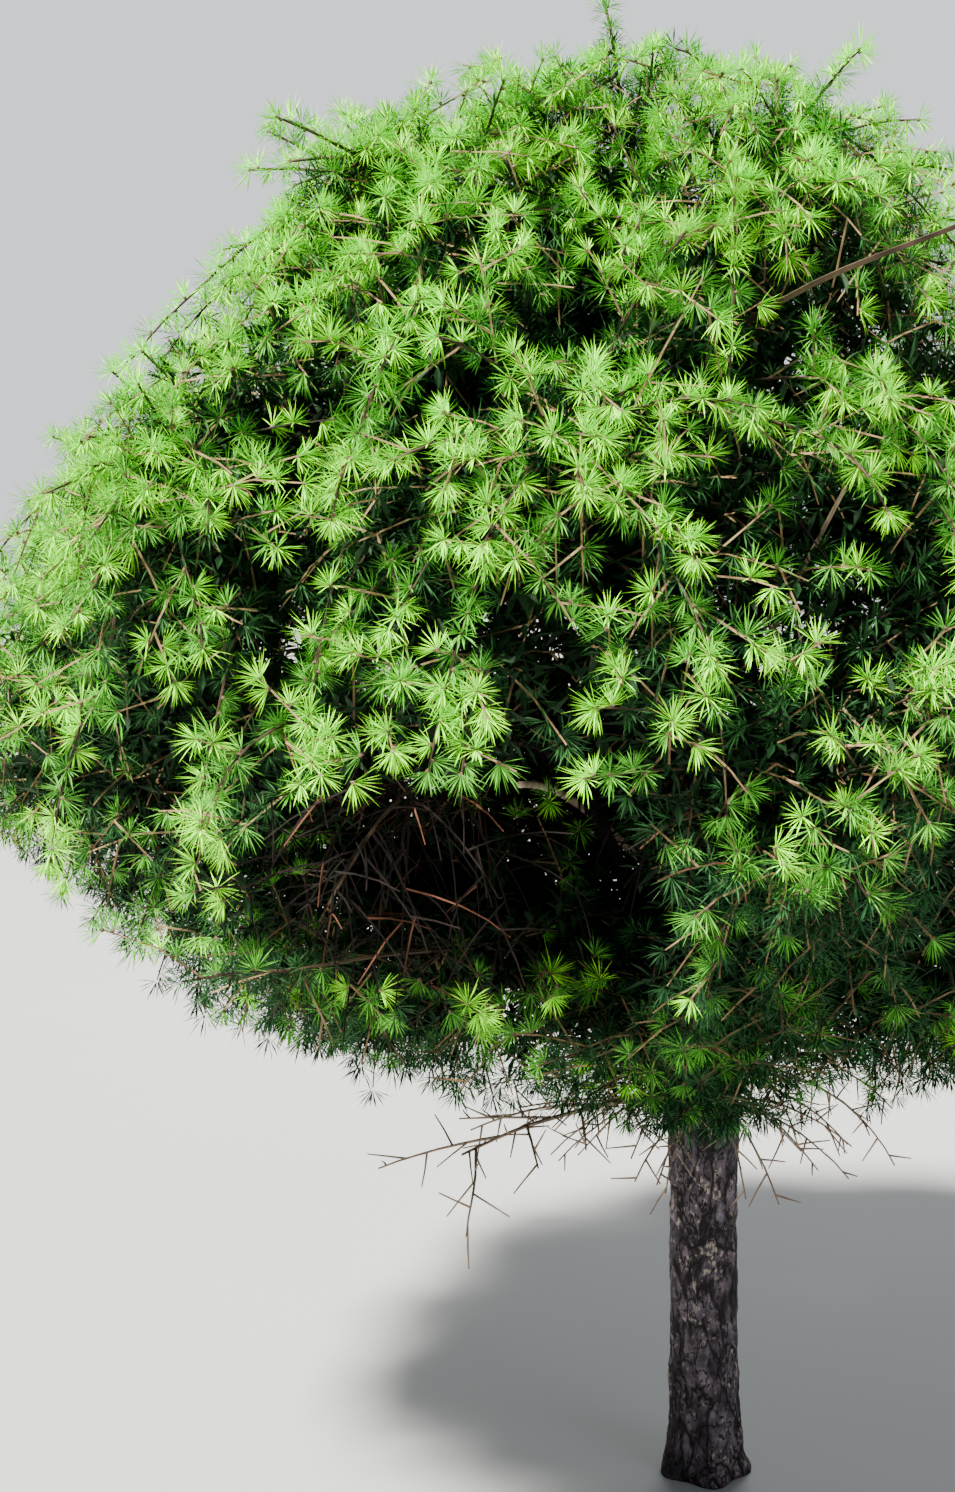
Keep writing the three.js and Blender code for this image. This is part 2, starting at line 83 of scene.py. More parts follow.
def route(*points):
    return [Vector(point) for point in points]


# The head's outline: its waist is its widest height, and it draws in above and below that
HEAD_TOP = 1.665
HEAD_WAIST = 0.96
HEAD_FOOT = 0.43
HEAD_RADIUS = 0.715
HEAD_SHIFT = (-0.13, -0.065)
UPPER_POWERS = (2.6, 1.1)
LOWER_POWERS = (1.43, 1.4)
HEART_RADIUS = 0.14

# The bare pocket under the front of the head, which rises by a share of its depth towards the front
POCKET_CENTRE = Vector((-0.3, -0.57, 0.853))
POCKET_SIZE = Vector((0.2, 0.29, 0.115))
POCKET_RISE = 0.16
POCKET_AZIMUTH = math.radians(244)

# The hollow shoulder on the upper left of the head
SHOULDER = Vector((-0.64, -0.12, 1.42))
SHOULDER_SIZE = 0.26
SHOULDER_DIP = 0.26

# Dead wood: a broken stub, thin twigs at the graft and a bare upright shoot
STUB_FORK = 0.74
STUB_TIP = Vector((-0.239, -0.3, 0.9))
STUB_RADII = (0.0055, 0.0036)
TWIGS_FORK = 0.482
TWIGS_AZIMUTH = math.radians(226)
TWIGS_LENGTH = 0.4
TWIG_COUNT = 8
GRAFT_TWIGS = 34
GRAFT_TWIG_FEET = (0.465, 0.54)
GRAFT_TWIG_START = 0.035
BARE_SHOOT_BOUGH = "lower_6"
BARE_SHOOT_FOOT = Vector((-0.029, -0.455, 1.016))
BARE_SHOOT_TIP = Vector((0.035, -0.58, 1.199))
BARE_SHOOT_RADII = (0.0036, 0.0018)

# A long limb that lies bare on the upper right of the front, and its last two points are the bare length
LONG_LIMB = route((-0.05, -0.03, 1.12), (-0.07, -0.33, 1.31), (0.005, -0.5, 1.373), (0.155, -0.5, 1.434))
LONG_LIMB_RADII = (0.005, 0.0028)

# The trunk: its lean, the bow and sway of its leader, its flare with root lobes, its graft, the flat edge of
# its foot with the height over which the bark sets in, and its sides and rings. Twigs keep clear of it as a
# row of straight pieces.
TRUNK_LEAN = 0.016
LEADER_BOW = 0.06
LEADER_SWAY = 0.009
SWAY_LENGTH = 0.15
SWAY_ONSET = 0.3
LEADER_TAPER = 0.8
FLARE_HEIGHT = 0.042
FLARE_LOBES = 5
LOBE_DEPTH = 0.1
GRAFT_SPAN = 0.038
FOOT_EDGE = 0.0005
FOOT_FADE = 0.004
TRUNK_SIDES = 24
STEM_RINGS = 50
LEADER_RINGS = 24
TRUNK_PIECES = 14

# Live wood
BOUGH_RADII = (0.011, 0.005)
STEM_RADII = (0.005, 0.003)
SHOOT_RADII = (0.0034, 0.0024)
CLEARANCE = 0.002
TWIG_CROSSING = 0.045
REACH = 0.018
STEP = 0.024
WANDER = 0.14
WANDER_UP = 0.1
SHOOTS_PER_STEM = 18
SHOOT_TURN = math.radians(100)
LOW_SHOOTS = 14
HIGH_SHOOTS = 9
TWIG_SIZE = 0.1
SIDE_TWIG_SIZE = 0.06
SIDE_TWIG_SPACING = 1.3

# Twigs of each kind: how far apart they stand, how long they are and how much they sag at each step
DEAD_ENDS = (0.024, 0.036, 0.03)
BARE_TWIGS = (0.026, 0.2, 0)
BARE_SIDE_TWIGS = (0.04, 0.09, 0.02)
LEFT_SHOOTS = (0.022, 0.2, 0.05)
LEFT_TWIG_SIZE = 0.08
LEFT_SIDE_TWIG_SIZE = 0.05
LEFT_TWIG_SAG = 0.12

# Levels of the head that the stems of the top tiers, live fine twigs, hanging shoots and bare twigs reach
TOP_LEVEL = 1.15
TWIG_LEVEL = 1.02
HANGING_LEVEL = 1.04
BARE_TWIG_LEVEL = 0.85

# Heights that each kind of growth stays above
GRAFT_TWIG_LOWEST = 0.4
DEAD_END_LOWEST = 0.38
BARE_TWIG_LOWEST = 0.47
LEFT_TWIG_LOWEST = 0.58
BARE_SPRAY_LOWEST = 0.55

# Thickness that fine twigs, hanging shoots and dead twigs are taken to have beside a limb
TWIG_ROOM = 0.001
HANGING_ROOM = 0.002
DEAD_TWIG_ROOM = 0.003

# Radii at the foot and the tip of each kind of twig, as it is drawn
TWIG_RADII = dict(
    stem=(0.0045, 0.0012), shoot=(0.0021, 0.0012), hanging=(0.0015, 0.0009), young=(0.0013, 0.0008),
    bare=(0.0014, 0.0008), fine=(0.0011, 0.0006), dead_limb=(0.0046, 0.0016), dead_side=(0.0018, 0.001),
    graft=(0.0018, 0.0009), dead_end=(0.0013, 0.0007),
)

# Seeds of the random numbers. Those of twigs and sprays are added to the seed of their mass.
SEEDS = dict(
    twigs=40, sprays=950, dead_twigs=77, graft_twigs=5200, dead_ends=5300, bare_twigs=4100, bare_sprays=990,
    left_limbs=6100, left_masses=990000, light=12, flecks=31, spurs=5, needles=100,
)

# Tiers of foliage from the top down. A mass's middle stands at `height`, at `reach` of the head's radius.
# A tier is `tilt` higher over the pocket and as much lower on the other side.
# A bough leaves the trunk in the range `forks` and ends at `bough` of the head's radius. The top has none.
# Shoots run to about `spread`, set out upwards by `climb` and bend down by `sag` at each step.
TIERS = [
    dict(name="top", count=1, first=0, height=1.52, tilt=0, reach=0.15, spread=0.24, climb=1, sag=0),
    dict(name="upper", count=5, first=18, height=1.47, tilt=0, reach=0.68, forks=(1.01, 1.18),
         bough=0.36, spread=0.24, climb=0.9, sag=0.04),
    dict(name="middle", count=7, first=12, height=1.185, tilt=0.015, reach=0.72, forks=(0.73, 0.93),
         bough=0.4, spread=0.23, climb=0.45, sag=0.08),
    dict(name="lower", count=7, first=38, height=0.925, tilt=0.045, reach=0.72, forks=(0.54, 0.67),
         bough=0.4, spread=0.22, climb=0.15, sag=0.12),
    dict(name="skirt", count=5, first=50, height=0.632, tilt=0, reach=0.8, forks=(0.485, 0.525),
         bough=0.42, spread=0.19, climb=0.1, sag=0.11),
]

# Three more limbs on the left: one under the bare pocket, one behind it and one inside the hollow shoulder.
# Their twigs grow up to the head level `most`, and their outer sprays are painted with `gain` more light.
# Nothing grows on the first pieces of each.
LEFT_LIMB_PIECES = 30
LEFT_LIMB_BARE_PIECES = 10
LEFT_LIMBS = [
    dict(gain=-0.15, most=1.14, route=route(
        (-0.02, 0, 0.62), (-0.231, -0.24, 0.713), (-0.357, -0.436, 0.755), (-0.433, -0.52, 0.762),
        (-0.52, -0.5, 0.745)
    )),
    dict(gain=0, most=1.14, route=route(
        (-0.02, 0, 0.6), (-0.25, 0.02, 0.69), (-0.45, -0.07, 0.74), (-0.64, -0.17, 0.78)
    )),
    dict(gain=0, most=0.78, route=route(
        (-0.06, -0.03, 1.05), (-0.26, -0.15, 1.2), (-0.42, -0.2, 1.27), (-0.56, -0.22, 1.3)
    )),
]

# The place of an eye before the tree and how many degrees it looks down, and the bare lengths of wood that
# no spray hides from it: none stands within their width of its line of sight, and so far behind them
EYE = Vector((-0.282, -2.2, 1.17))
EYE_DIP = 6.9
BARE_LENGTHS = [(LONG_LIMB[2], LONG_LIMB[3]), (Vector((-0.12, -0.2, 0.865)), STUB_TIP)]
BARE_WIDTH = 0.03
BARE_DEPTH = 0.04

# Needles grow only outside a shady heart, and each spray of a fine twig needs a small room of its own.
# Along stems and other shoots the sprays stand closer than along fine twigs.
SHADY_LEVELS = (0.25, 0.5)
SPRAY_ROOM = 0.019
STEM_CLOSENESS = 0.5
SHOOT_CLOSENESS = 0.75

# A spray's needles rise from nearly upright in its middle to nearly flat round its edge, droop a little and
# are folded. A spur has a foot, a belt and a top at their heights along it.
NEEDLE_RISE = (0.98, 0.26)
NEEDLE_DROOP = 0.1
NEEDLE_FOLD = 0.7
SPRAY_LENGTHS = (0.78, 1.1)
NEEDLE_LENGTHS = (0.7, 1.08)
SPUR_RADII = (0.0021, 0.003)
SPUR_HEIGHTS = (-0.001, 0.0022, 0.0052)

# Light and shade are painted into the needles' colours. The light that reaches a spray falls off with the
# number of sprays before it. The first sun stands before the tree and the second behind it, where it is a
# little weaker.
SUNS = [Vector((-0.4, -0.25, 0.9)).normalized(), Vector((0.3, 0.5, 0.8)).normalized()]
BACK_SUN_LOSS = 0.4
LIGHT_CELL = 0.035
LIGHT_STEPS = 12
LIGHT_LOSS = 0.52
LIGHT_SPREAD = 0.1

# Sprays are painted dark, shaded, half lit or bright by their light, as painted shade and painted light. The
# tone spread blurs the last two bounds, and painted flecks of sun reach a share of the outer sprays. Dark
# sprays differ by their level in the head.
DARK_LIGHT = 0.14
HALF_LIT_LIGHT = 0.42
BRIGHT_LIGHT = 0.84
TONE_SPREAD = 0.16
FLECK_SHARE = 0.12
FLECK_LIGHT = 0.45
# Deep in the head the dark sprays are a few wide, long blades: painted shade that fills the crown's inside
MIDDLE_LEVEL = 0.62
OUTER_LEVEL = 0.88
GAIN_LEVEL = 0.85
DARK_NEEDLES = 4
RED_TWIG_EVERY = 8
PIECE_TRIANGLES = 190000
NEEDLE_TRIANGLES = 2

# The point in the crown that the lights face
LIGHT_AIM = Vector((-0.1, 0, 0.9))


def number_setting(name, description, default, **kind):
    return FloatProperty(name=name, description=description, default=default, **kind)


def length_setting(name, description, default):
    return number_setting(name, description, default, unit="LENGTH")


def color_setting(name, description, default):
    return FloatVectorProperty(name=name, description=description, default=default, subtype="COLOR")


class TrunkSettings(bpy.types.PropertyGroup):
    """Sizes and colours of the trunk and its bark"""

    radius: length_setting("Radius", "Radius of the clear stem", 0.04)
    leader_top: length_setting("Leader top", "Height at which the wood of the trunk ends in its leader", 1.35)
    leader_radius: length_setting("Leader radius", "Radius of the leader's tip", 0.008)
    graft_height: length_setting("Graft height", "Height of the graft under the crown", 0.455)
    graft_swell: length_setting("Graft swelling", "How far the graft swells", 0.0035)
    root_flare: number_setting(
        "Root flare", "Share by which the foot is wider than the stem", 0.34, subtype="FACTOR"
    )
    plate_depth: length_setting("Plate depth", "Depth of the fissures between bark plates", 0.0045)
    # The fissures' colour is partly the bark's own dark tone and partly painted shade in the cracks
    fissure: color_setting("Fissures", "Colour in the fissures", (0.008, 0.006, 0.007))
    plate: color_setting("Plates", "Colour of the bark plates", (0.062, 0.05, 0.063))
    flake: color_setting("Flakes", "Colour of the dry flakes on the plates", (0.3, 0.25, 0.225))


class WoodSettings(bpy.types.PropertyGroup):
    """Colours of the boughs, twigs and dead wood"""

    # Boughs and old twigs are darker than their bark alone: their colours hold painted shade of the crown's
    # inside as well as dark bark
    bough: color_setting("Boughs", "Bark of the boughs", (0.012, 0.009, 0.008))
    old_twig: color_setting("Old twigs", "Bark of twigs of some years", (0.05, 0.034, 0.022))
    young_twig: color_setting("Young twigs", "Bark of last year's twigs", (0.2, 0.135, 0.07))
    # Bare twigs are painted near black, painted shade of the crown's dark inside; the red twigs keep their own
    # reddish bark
    bare_twig: color_setting("Bare twigs", "Bare twigs in the dark of the crown", (0.007, 0.004, 0.0035))
    spur: color_setting("Spurs", "Colour of the knobbly spurs", (0.12, 0.075, 0.045))
    red_twig: color_setting("Red twigs", "Bare twigs that keep their reddish bark", (0.085, 0.032, 0.02))
    # The stub's pale colour is partly weathered wood and partly painted light, as pale as sunlit wood though
    # it stands in the crown's shade
    broken: color_setting("Broken stub", "Weathered wood of the broken stub", (0.6, 0.48, 0.36))
    dead: color_setting("Dead wood", "Colour of dead twigs", (0.2, 0.14, 0.1))


class FoliageSettings(bpy.types.PropertyGroup):
    """Sizes, numbers and colours of the twigs and needles"""

    needle_length: length_setting("Needle length", "Length of a needle", 0.0255)
    needle_width: length_setting("Needle width", "Width of a needle at its middle", 0.0013)
    needles: IntProperty(name="Needles", description="Needles in one spray", default=30, min=6, max=60)
    spray_spacing: length_setting("Spray spacing", "Length of twig from one spray to the next", 0.019)
    twig_spacing: length_setting("Twig spacing", "Length of shoot from one side twig to the next", 0.034)
    # The needles' colours are painted light and shade: bright in the painted sun, half lit, shaded, darker on
    # the underside and darkest deep inside
    bright: color_setting("Bright needles", "Needles in the sun", (0.31, 0.87, 0.015))
    half_lit: color_setting("Half lit needles", "Most needles", (0.1, 0.38, 0.034))
    shaded: color_setting("Shaded needles", "Needles behind others", (0.018, 0.08, 0.02))
    edge: color_setting("Edge needles", "Needles on the shaded underside", (0.013, 0.062, 0.018))
    dark: color_setting("Dark needles", "Needles deep in the crown", (0.006, 0.026, 0.008))


class StageSettings(bpy.types.PropertyGroup):
    """The floor, lights and camera"""

    floor: color_setting("Floor", "Colour of the floor", (0.335, 0.345, 0.365))
    key_strength: number_setting("Key light", "Strength of the key light in watts per square metre", 20.5)
    fill_power: number_setting("Fill light", "Power of the fill light in watts", 42.0)
    sky_strength: number_setting("Surrounding light", "Strength of the light from all round", 0.165)
    backdrop_strength: number_setting("Backdrop", "Brightness of what shows behind the tree", 1.2)
    lens: number_setting("Lens", "Focal length of the camera in millimetres", 45.0)


# A stream of random numbers that is the same on every run
def random_stream(seed):
    state = seed & MASK

    def draw():
        nonlocal state
        state = (state + 0x6D2B79F5) & MASK
        mixed = ((state ^ (state >> 15)) * (1 | state)) & MASK
        mixed = ((mixed + (mixed ^ (mixed >> 7)) * (61 | mixed)) ^ mixed) & MASK
        return ((mixed ^ (mixed >> 14)) & MASK) / (MASK + 1)

    return draw


def lerp(a, b, share):
    return a + (b - a) * share


def clamp(value, low=0.0, high=1.0):
    return min(max(value, low), high)


def smoothstep(value, low, high):
    share = clamp((value - low) / (high - low))
    return share * share * (3 - 2 * share)


def outward(azimuth):
    return Vector((math.cos(azimuth), math.sin(azimuth), 0))


# The trunk's centre at a height: a slight lean, then a bow and a sway of the leader inside the head
def trunk_axis(z):
    trunk = bpy.context.scene.larch_trunk
    bow = LEADER_BOW * smoothstep(z, trunk.graft_height, trunk.leader_top)
    onset = smoothstep(z, trunk.graft_height, trunk.graft_height + SWAY_ONSET)
    sway = LEADER_SWAY * math.sin(z / SWAY_LENGTH) * onset
    return Vector((-TRUNK_LEAN * z - bow + sway, -0.4 * bow - 1.2 * sway, z))


# The trunk's radius: a root flare, an even clear stem, the graft's swelling and a tapering leader
def trunk_radius(z):
    trunk = bpy.context.scene.larch_trunk
    leader = max(0.0, (z - trunk.graft_height) / (trunk.leader_top - trunk.graft_height))
    even = lerp(trunk.radius, trunk.leader_radius, leader**LEADER_TAPER)
    flare = 1 + trunk.root_flare * math.exp(-z / FLARE_HEIGHT)
    return even * flare + trunk.graft_swell * math.exp(-(((z - trunk.graft_height) / GRAFT_SPAN) ** 2))


def head_axis(z):
    share = smoothstep(z, HEAD_FOOT, HEAD_WAIST)
    return Vector((HEAD_SHIFT[0] * share, HEAD_SHIFT[1] * share, z))


# The outline's radius at the waist, with a bulge to the left and three shallow lobes
def waist_radius(azimuth):
    bulge = 0.08 * math.cos(azimuth - math.radians(185))
    lobes = 0.02 * math.cos(3 * azimuth + math.radians(40))
    return HEAD_RADIUS * (1 + bulge + lobes)


def head_rise(z):
    if z >= HEAD_WAIST:
        return (z - HEAD_WAIST) / (HEAD_TOP - HEAD_WAIST), UPPER_POWERS
    return (HEAD_WAIST - z) / (HEAD_WAIST - HEAD_FOOT), LOWER_POWERS


# How far out a point lies in the head: 0 at its heart and 1 on its outline
def head_level(point):
    away = point - head_axis(point.z)
    across = math.hypot(away.x, away.y) / waist_radius(math.atan2(away.y, away.x))
    share, (power_across, power_up) = head_rise(point.z)
    return across**power_across + share**power_up


def head_point(azimuth, z, reach):
    share, (power_across, power_up) = head_rise(z)
    radius = waist_radius(azimuth) * max(0.0, 1 - share**power_up) ** (1 / power_across)
    return head_axis(z) + outward(azimuth) * radius * reach


def in_pocket(point):
    away = point - POCKET_CENTRE
    away.z += POCKET_RISE * away.y
    return sum((away[k] / POCKET_SIZE[k]) ** 2 for k in range(3)) < 1


# Splits paths into those that stay out of the bare pocket and those that cross it
def split_at_pocket(paths):
    parts = [], []
    for path in paths:
        parts[any(in_pocket(point) for point in path)].append(path)
    return parts


# How far the head falls short of its even dome: its upper left shoulder is hollow
def shortfall(point):
    return SHOULDER_DIP * math.exp(-(((point - SHOULDER).length / SHOULDER_SIZE) ** 2))


# Whether a point lies so far inside the frame's box that twigs and needles there stay within its reach
def in_reach(point):
    low, high = FRAME_BOUNDS
    return all(low[k] - REACH < point[k] < high[k] + REACH for k in range(3))


# Whether a spray at a point would hide a bare length of wood from the eye
def before_bare(point):
    for start, end in BARE_LENGTHS:
        seen = EYE + (point - EYE) * ((end.y - EYE.y) / (point.y - EYE.y))
        along = clamp((seen.x - start.x) / (end.x - start.x))
        if point.y < end.y + BARE_DEPTH and (seen - start.lerp(end, along)).length < BARE_WIDTH:
            return True
    return False


# The masses of foliage in plan. The space of each is all that lies nearer to its middle than to the others'.
def plan_masses():
    masses = []
    for row, tier in enumerate(TIERS):
        for i in range(tier["count"]):
            draw = random_stream(1000 * (row + 1) + 17 * i)
            loose = 1 if tier["count"] > 1 else 0
            azimuth = math.radians(tier["first"] + 360 * i / tier["count"] + loose * 10 * (draw() - 0.5))
            tilt = tier["tilt"] * math.cos(azimuth - POCKET_AZIMUTH)
            height = tier["height"] + tilt + loose * 0.06 * (draw() - 0.5)
            masses.append(SimpleNamespace(
                tier=tier,
                gain=0,
                azimuth=azimuth,
                seed=100000 * (row + 1) + 1000 * i,
                name=f"{tier['name']}_{i + 1}" if loose else tier["name"],
                centre=head_point(azimuth, height, tier["reach"]),
                fork=lerp(*tier["forks"], (i * 0.618 + 0.2) % 1) if "forks" in tier else None,
            ))
    return masses


# The four control points of a limb that climbs out of the trunk, arches over and runs out to its tip
def arch_controls(fork, tip, climb):
    root = trunk_axis(fork)
    away = tip - root
    away.z = 0
    away.normalize()
    length = (tip - root).length
    return [
        root,
        root + away * 0.3 * length + UP * 0.3 * length * climb,
        tip - away * 0.33 * length - UP * 0.1 * length * climb,
        tip.copy(),
    ]


def arch_point(controls, t):
    a, b, c, d = controls
    return a * (1 - t) ** 3 + b * 3 * t * (1 - t) ** 2 + c * 3 * t * t * (1 - t) + d * t**3


# Points evenly spaced along a smooth path that a function gives for shares from 0 to 1
def spaced_points(path, count):
    fine = [path(i / PATH_STEPS) for i in range(PATH_STEPS + 1)]
    lengths = np.cumsum([0] + [(b - a).length for a, b in zip(fine, fine[1:])])
    evenly = np.linspace(0, lengths[-1], count + 1)
    return [path(share) for share in np.interp(evenly, lengths, np.linspace(0, 1, PATH_STEPS + 1))]


# Wood along a path: its points, each with a radius that tapers evenly from the foot to the tip
def wood_along(points, radii):
    last = len(points) - 1
    return [(point, lerp(*radii, i / last)) for i, point in enumerate(points)]


def drawn_along(paths, kind):
    return [wood_along(path, TWIG_RADII[kind]) for path in paths]


# The wood of a limb along its arch, in five straight pieces
def arch_wood(controls, radii):
    return wood_along(spaced_points(lambda share: arch_point(controls, share), 5), radii)


def route_points(points, count):
    return spaced_points(lambda share: through_points(points, share), count)


# The limbs' straight pieces as arrays, so that one step of a shoot is tested against them all at once
def limb_pieces(limbs):
    steps = [step for wood in limbs for step in zip(wood, wood[1:])]
    starts = np.array([foot for (foot, _), _ in steps])
    ends = np.array([tip for _, (tip, _) in steps])
    radii = np.array([radius for (_, radius), _ in steps])
    return starts, ends - starts, radii


# Whether a straight piece of a given thickness comes within the clearance of a limb
def touches_limb(start, end, thickness, pieces):
    starts, ways, radii = pieces
    u = np.array(end - start)
    w = np.array(start) - starts
    uu = u @ u
    uv = ways @ u
    vv = np.einsum("ij,ij->i", ways, ways)
    uw = w @ u
    vw = np.einsum("ij,ij->i", ways, w)
    cross = uu * vv - uv * uv
    safe = np.where(cross > PARALLEL, cross, 1)
    first = np.where(cross > PARALLEL, np.clip((uv * vw - vv * uw) / safe, 0, 1), 0)
    t = np.clip((uv * first + vw) / vv, 0, 1)
    s = np.clip((uv * t - uw) / uu, 0, 1)
    gaps = np.linalg.norm(w + s[:, None] * u - t[:, None] * ways, axis=1)
    return bool((gaps < radii + thickness + CLEARANCE).any())


# Whether a point lies between the walls of a mass's space, inside the head's outline and out of its heart
def in_space(mass, point, margin, most=1.0):
    here = np.array(point)
    if (np.einsum("ij,ij->i", mass.wall_normals, here - mass.wall_middles) > -margin).any():
        return False
    if "forks" in mass.tier and (point - head_axis(point.z)).length < HEART_RADIUS:
        return False
    return head_level(point) < most


# A shoot sets out along a heading, wanders, sags as it lengthens, and ends where its next step isn't free
def grow_shoot(start, heading, length, sag, draw, free):
    points = [start.copy()]
    way = heading.normalized()
    steps = max(2, math.floor(length / STEP + 0.5))
    for i in range(steps):
        way.x += WANDER * (draw() - 0.5)
        way.y += WANDER * (draw() - 0.5)
        way.z += WANDER_UP * (draw() - 0.5) - sag
        way.normalize()
        following = points[i] + way * (length / steps)
        if not free(points[i], following):
            break
        points.append(following)
    return points


# The point and heading at a share of the way along a path
def along_path(points, share):
    place = share * (len(points) - 1)
    i = min(len(points) - 2, math.floor(place))
    heading = (points[i + 1] - points[i]).normalized()
    return points[i].lerp(points[i + 1], place - i), heading


# The stem of a mass goes on from its bough's tip or the leader's, and arches through the mass's middle
def grow_stem(mass, free):
    aim = (mass.centre - mass.start).normalized().lerp(mass.heading, 0.4)
    aim.z += 0.3 * mass.tier["climb"]
    length = (mass.centre - mass.start).length + mass.tier["spread"]
    return grow_shoot(mass.start, aim, length, 0.5 * mass.tier["sag"], random_stream(mass.seed), free)


# Shoot number i of a mass branches from the stem, turned round it from the one before
def grow_side(mass, i, free):
    draw = random_stream(mass.seed + i + 1)
    share = 0.16 + 0.82 * (i + 0.5) / SHOOTS_PER_STEM
    point, heading = along_path(mass.stem, share)
    side = heading.cross(UP).normalized()
    roll = i * SHOOT_TURN + draw()
    way = Matrix.Rotation(roll, 3, heading) @ side + heading * (0.3 + 0.4 * share)
    way.z += 0.6 * mass.tier["climb"]
    length = mass.tier["spread"] * (0.8 + 0.45 * draw())
    return grow_shoot(point, way, length, mass.tier["sag"], draw, free)


# The shoots that grew for at least two steps
def well_grown(shoots):
    return [shoot for shoot in shoots if len(shoot) > 2]


# Finer twigs of a kind stand all round along a shoot, and follow the same rule at a smaller size
def grow_fine_twigs(shoot, kind, draw, free):
    spacing, size, sag = kind
    count = int(STEP * (len(shoot) - 1) / spacing)
    turn = FULL_TURN * draw()
    twigs = []
    for j in range(count):
        point, heading = along_path(shoot, (j + 0.2 + 0.6 * draw()) / count)
        turn += GOLDEN_ANGLE
        side = Matrix.Rotation(turn, 3, heading) @ heading.cross(UP).normalized()
        way = side + heading * (0.35 + 0.5 * draw())
        twigs.append(grow_shoot(point, way, size * (0.65 + 0.7 * draw()), sag, draw, free))
    return well_grown(twigs)


# Finer twigs along a shoot, each with its own side twigs
def grow_branched(shoot, kind, side_kind, draw, free):
    twigs = []
    for twig in grow_fine_twigs(shoot, kind, draw, free):
        twigs += [twig] + grow_fine_twigs(twig, side_kind, draw, free)
    return twigs


# The dead twigs by the graft: a thin limb and its side twigs
def grow_dead_twigs(pieces):
    draw = random_stream(SEEDS["dead_twigs"])

    def side_free(start, end):
        return not touches_limb(start, end, DEAD_TWIG_ROOM, pieces)

    heading = outward(TWIGS_AZIMUTH) + UP * 0.2
    main = grow_shoot(trunk_axis(TWIGS_FORK), heading, TWIGS_LENGTH, 0.012, draw, lambda start, end: True)
    sides = []
    for i in range(TWIG_COUNT):
        point, along = along_path(main, 0.3 + 0.65 * i / (TWIG_COUNT - 1))
        way = Matrix.Rotation((1 if i % 2 else -1) * (0.6 + 0.6 * draw()), 3, UP) @ along
        way.z += 0.3 * (draw() - 0.5)
        sides.append(grow_shoot(point, way, 0.09 + 0.09 * draw(), 0.03, draw, side_free))
    return drawn_along([main], "dead_limb") + drawn_along(well_grown(sides), "dead_side")


# Thin dead twigs that droop all round the graft
def grow_graft_twigs():
    draw = random_stream(SEEDS["graft_twigs"])
    twigs = []
    for i in range(GRAFT_TWIGS):
        away = outward(TWIGS_AZIMUTH + i * GOLDEN_ANGLE)
        foot = trunk_axis(lerp(*GRAFT_TWIG_FEET, draw())) + away * GRAFT_TWIG_START
        way = away + UP * (0.5 * draw() - 0.2)
        length = 0.11 + 0.16 * draw()
        twigs.append(grow_shoot(foot, way, length, 0.13, draw, lambda start, end: end.z > GRAFT_TWIG_LOWEST))
    return drawn_along(well_grown(twigs), "graft")


# Short crooked twigs on the dead wood, too fine for the frame
def grow_dead_ends(woods):
    draw = random_stream(SEEDS["dead_ends"])
    ends = []
    for wood in woods:
        path = [point for point, _ in wood]
        ends += grow_fine_twigs(path, DEAD_ENDS, draw, lambda start, end: end.z > DEAD_END_LOWEST)
    return drawn_along(ends, "dead_end")


# A hanging shoot goes on from the tip of another, arches over and droops outside the masses below
def grow_hanging(shoot, draw, free):
    tip = shoot[-1]
    way = (tip - shoot[-2]).normalized() * 0.7 + outward(math.atan2(tip.y, tip.x)) * 0.5
    return grow_shoot(tip, way, 0.12 + 0.2 * draw(), 0.17, draw, free)


# A shoot that leaves a stem outwards, and down or up by a slope, fills the lower or upper side of a mass
def grow_sloping(stem, slope, draw, free):
    point, _ = along_path(stem, 0.2 + 0.75 * draw())
    azimuth = math.atan2(point.y, point.x) + 2.4 * (draw() - 0.5)
    way = outward(azimuth) + UP * slope * (0.5 + draw())
    return grow_shoot(point, way, 0.16 + 0.14 * draw(), 0.05, draw, free)


def path_length(path):
    return sum((b - a).length for a, b in zip(path, path[1:]))


# Bare dead twigs stand all round the boughs, the stems and the leader in the dark of the crown
def grow_bare_twigs(limbs):
    draw = random_stream(SEEDS["bare_twigs"])

    def shady(start, end):
        return head_level(end) < BARE_TWIG_LEVEL and end.z > BARE_TWIG_LOWEST and not in_pocket(end)

    twigs = []
    for wood in limbs:
        path = [point for point, _ in wood]
        steps = max(2, round(path_length(path) / STEP))
        even = spaced_points(lambda share: along_path(path, share)[0], steps)
        twigs += grow_branched(even, BARE_TWIGS, BARE_SIDE_TWIGS, draw, shady)
    return twigs


